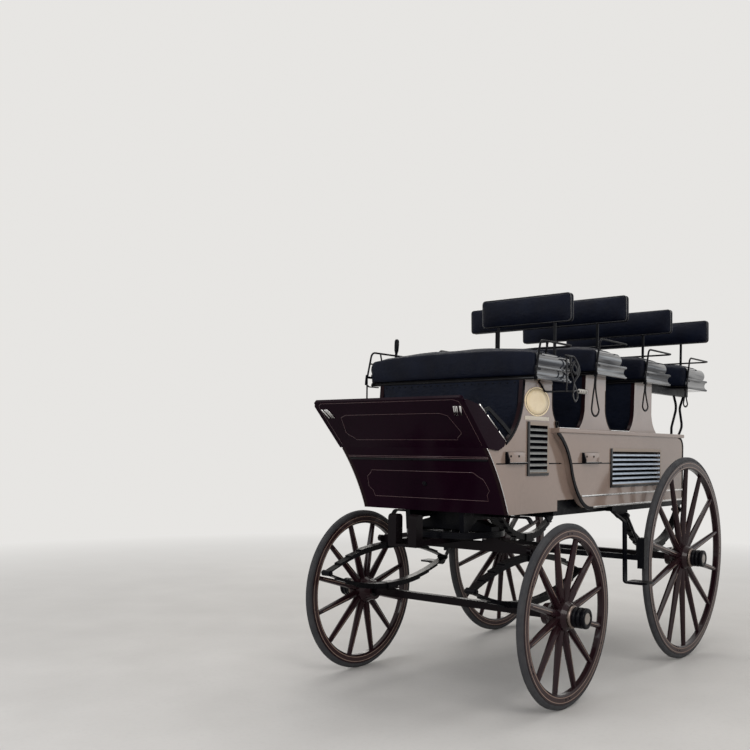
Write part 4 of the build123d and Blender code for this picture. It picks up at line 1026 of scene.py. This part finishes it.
def add_front_trim():
    """Fine lines, moulding, lock, bindings and small ribbed plates of the boot front and the footboard."""
    lines, bright, dark = Maker(), Maker(), Maker()
    section = flat_section(0.0022, 0.0008)
    up_slope = (FOOT_RISE, 0, -FOOT_REACH)
    # fine lines on the footboard, as (across, up the slope): half of its panel's outline and of its border
    half = [(0.0, 0.250), (0.325, 0.249), (0.367, 0.231), (0.398, 0.116), (0.390, 0.100), (0.357, 0.075),
            (0.351, 0.060), (0.0, 0.060)]
    border = [(0.0, 0.339), (0.455, 0.339), (0.478, 0.326), (0.484, 0.300), (0.484, 0.020)]
    for side in SIDES:
        for outline in (half, border):
            route = dense([on_footboard(side * y, t, LINE_OUT) for y, t in outline], 0.05, closed=False)
            lines.sweep(route, section, up=up_slope)
    # lines below the footboard, moulding, and the lined panel of the boot front
    for z in (1.366, 1.358):
        lines.sweep([on_boot(y, z, LINE_OUT) for y in (-0.486, 0.0, 0.486)], section, up=(1, 0, 0))
    dark.sweep([on_boot(y, 1.350, 0.002) for y in (-0.478, 0.478)], flat_section(0.012, 0.006), up=(1, 0, 0))
    panel = [(0.0, 1.282), (0.356, 1.282), (0.373, 1.265), (0.407, 1.243), (0.424, 1.184), (0.401, 1.160),
             (0.398, 1.126), (0.0, 1.126)]
    for side in SIDES:
        route = dense([on_boot(side * y, z, LINE_OUT) for y, z in panel], closed=False)
        lines.sweep([on_boot(q.y, q.z, LINE_OUT) for q in route], section, up=(1, 0, 0))
    lines.done("front_fine_lines", FINE_LINE, "body_maroon", 60.0)
    # small lock
    lock = [(-0.002, 0.0), (-0.002, 0.014), (0.004, 0.014), (0.006, 0.011), (0.006, 0.004), (0.003, 0.0)]
    dark.revolve(on_boot(0.0, 1.212), (1, 0, -0.35), lock, 20)
    for side in SIDES:
        # binding along the wing's rear edge, in three lengths
        foot, head = Vector((st(276), side * 0.514, 1.4445)), Vector((st(549), side * 0.514, 1.6385))
        for a, b in ((0.03, 0.30), (0.36, 0.72), (0.77, 0.99)):
            bright.sweep([foot.lerp(head, a), foot.lerp(head, b)], round_section(0.0045), up=(0, 1, 0))
        # small ribbed plate near the footboard's upper corner
        for place, width in ((0.413, 0.006), (0.423, 0.006), (0.433, 0.006), (0.454, 0.011)):
            ends = ((place, 0.232), (place + 0.022, 0.297))
            rib = [on_footboard(side * y, along, 0.002) for y, along in ends]
            bright.sweep(rib, flat_section(width, 0.003), up=up_slope)
    bright.done("front_bright_trim", NICKEL, "iron_black", 50.0)
    dark.done("front_dark_trim", IRON, "iron_black")


# Profiles of (out, radius) in millimetres about the axle, from the wheel's middle plane
HUB_SHELL = [
    (60, 50), (60.5, 56.2), (74, 56.5), (74.5, 54.5), (86, 54.5), (86.5, 56.5), (100, 56.5), (100.5, 54.5),
    (112, 54.5), (112.5, 56.5), (126, 56.5), (131, 55), (133.5, 50), (133.5, 35), (131.5, 32.2), (129, 31.8)]
HUB_DISC_FACE = [(129.2, 0), (129.2, 31.8), (131, 31), (131.8, 24), (132.1, 0)]
NAVE_RING = [(39.5, 64), (40, 66.8), (56, 59.2), (56.5, 55)]
FELLOE_FACE = 0.0215
JOINT_BOLT_SPREAD = 0.0245
FLANGE_FACE = 0.012
FLANGE_BOLTS = 6
FLANGE_RADIUS = 0.071


def add_wheel_trim():
    """Felloe and flange bolts, the nave's bright band, the ribbed cap and the disc in its end."""
    for name, (x, y, radius, spokes) in WHEELS.items():
        side = 1 if y > 0 else -1
        body, out = f"wheel_{name}", (0, side, 0)
        for piece, profile, steps, material, angle in (
            ("hub_shell", HUB_SHELL, 40, HUB, 35.0),
            ("hub_disc", HUB_DISC_FACE, 32, HUB_DISC, 40.0),
            ("nave_band", NAVE_RING, 40, NAVE_BAND, 40.0),
        ):
            turned = Maker().revolve((x, y, radius), out, [(a / 1000, r / 1000) for a, r in profile], steps)
            turned.done(f"{piece}_{name}", material, "hub_black", angle, body)

        bolts = Maker()
        # two bolts at each joint of the felloe, which has one length for two spokes
        joints = spokes // 2
        r = radius - TYRE_HIGH - FELLOE_HIGH / 2
        for k in range(joints):
            for offset in (-JOINT_BOLT_SPREAD, JOINT_BOLT_SPREAD):
                turn = TURN * (k + 0.5) / joints + offset / radius
                place = (x + r * math.cos(turn), y + side * FELLOE_FACE, radius + r * math.sin(turn))
                bolts.bolt(place, out, 0.005, 0.003)
        for k in range(FLANGE_BOLTS):
            turn = TURN * (k + 0.25) / FLANGE_BOLTS
            dx, dz = FLANGE_RADIUS * math.cos(turn), FLANGE_RADIUS * math.sin(turn)
            bolts.bolt((x + dx, y + side * FLANGE_FACE, radius + dz), out, 0.006, 0.006)
        bolts.done(f"wheel_bolts_{name}", IRON, "iron_black", 40.0, body)


# Studio: pale floor, soft lamps, pale world
SKY_COLOR = (1.0, 0.985, 0.96, 1.0)
SKY_SEEN = 0.80
SKY_LIGHT = 0.40
FLOOR_HALF = 40.0
# Name, place, target, size, power and colour
LAMPS = (
    ("key", (4.5, 6.0, 4.6), (0.4, 0.4, 1.2), 3.6, 210.0, (1.0, 0.97, 0.93)),
    ("fill", (7.0, -1.5, 3.2), (0.8, 0.0, 1.1), 3.0, 90.0, (0.94, 0.96, 1.0)),
    ("top", (-0.5, 0.0, 5.6), (-0.4, 0.0, 1.0), 4.5, 130.0, (1.0, 0.98, 0.95)),
    ("back", (-5.0, -4.5, 3.8), (-0.3, 0.0, 1.2), 3.0, 80.0, (1.0, 0.96, 0.9)),
    ("window", (-6.5, 4.2, 3.0), (-0.3, 0.4, 1.5), 2.6, 11.0, (0.80, 0.90, 1.0)),
)


def seen_rays(tree):
    """1 for camera, glossy and transmission rays, 0 for the rays that light the object."""
    rays = new_node(tree, "LightPath").outputs
    total = rays["Is Camera Ray"]
    for ray in ("Is Glossy Ray", "Is Transmission Ray"):
        total = new_node(tree, "Math", {0: total, 1: rays[ray]}, operation="ADD", use_clamp=True).outputs[0]
    return total


def add_floor():
    mesh = bpy.data.meshes.new("floor")
    corners = [(FLOOR_HALF * a, FLOOR_HALF * b, 0) for a, b in ((-1, -1), (1, -1), (1, 1), (-1, 1))]
    mesh.from_pydata(corners, [], [(0, 1, 2, 3)])
    s = Shader("floor")
    color = s.mix(s.ramp(s.noise(1.6, 6.0), 0.3, 0.7), (0.60, 0.59, 0.58), (0.66, 0.65, 0.64))
    color = s.mix(s.ramp(s.noise(34.0, 6.0, 0.7), 0.5, 0.75, 0.0, 0.25), color, (0.50, 0.49, 0.48))
    s.set(Base_Color=color, Roughness=0.8, Normal=s.bump(s.noise(90.0, 4.0), 0.0006))
    # far from the object the floor takes the background's colour
    away = s.node("VectorMath", {0: s.place}, operation="LENGTH").outputs["Value"]
    far = s.ramp(away, 2.6, 9.5)
    glow = s.node("Emission", {"Color": SKY_COLOR, "Strength": SKY_SEEN})
    sockets = {0: s.times(far, seen_rays(s.tree)), 1: s.bsdf.outputs[0], 2: glow.outputs[0]}
    blend = s.node("MixShader", sockets).outputs[0]
    put(s.tree, blend, s.tree.nodes["Material Output"].inputs["Surface"])
    mesh.materials.append(s.mat)
    floor = new_object("floor", mesh)
    floor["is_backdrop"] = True


def add_world():
    world = bpy.data.worlds.new("studio")
    bpy.context.scene.world = world
    world.use_nodes = True
    tree = world.node_tree
    sockets = {"Value": seen_rays(tree), "To Min": SKY_LIGHT, "To Max": SKY_SEEN}
    background = tree.nodes["Background"].inputs
    put(tree, SKY_COLOR, background["Color"])
    put(tree, new_node(tree, "MapRange", sockets).outputs["Result"], background["Strength"])


def add_lamps():
    for name, place, target, size, power, color in LAMPS:
        data = bpy.data.lights.new(name, "AREA")
        data.shape = "SQUARE"
        data.size = size
        data.energy = power
        data.color = color
        lamp = new_object(name, data)
        lamp.location = place
        lamp.rotation_euler = (Vector(target) - Vector(place)).to_track_quat("-Z", "Y").to_euler()


for number, front, depth, low, high, height, right_end in SEATS:
    add_cushion(number, front, low, high)
    add_backrest(number, front, depth, height, right_end)
add_seat_irons()
add_entrance_rods()
add_fall()
add_straps()
add_side_trim()
add_front_trim()
add_wheel_trim()
add_floor()
add_world()
add_lamps()
bpy.context.scene.view_settings.view_transform = "Standard"

low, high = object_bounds()
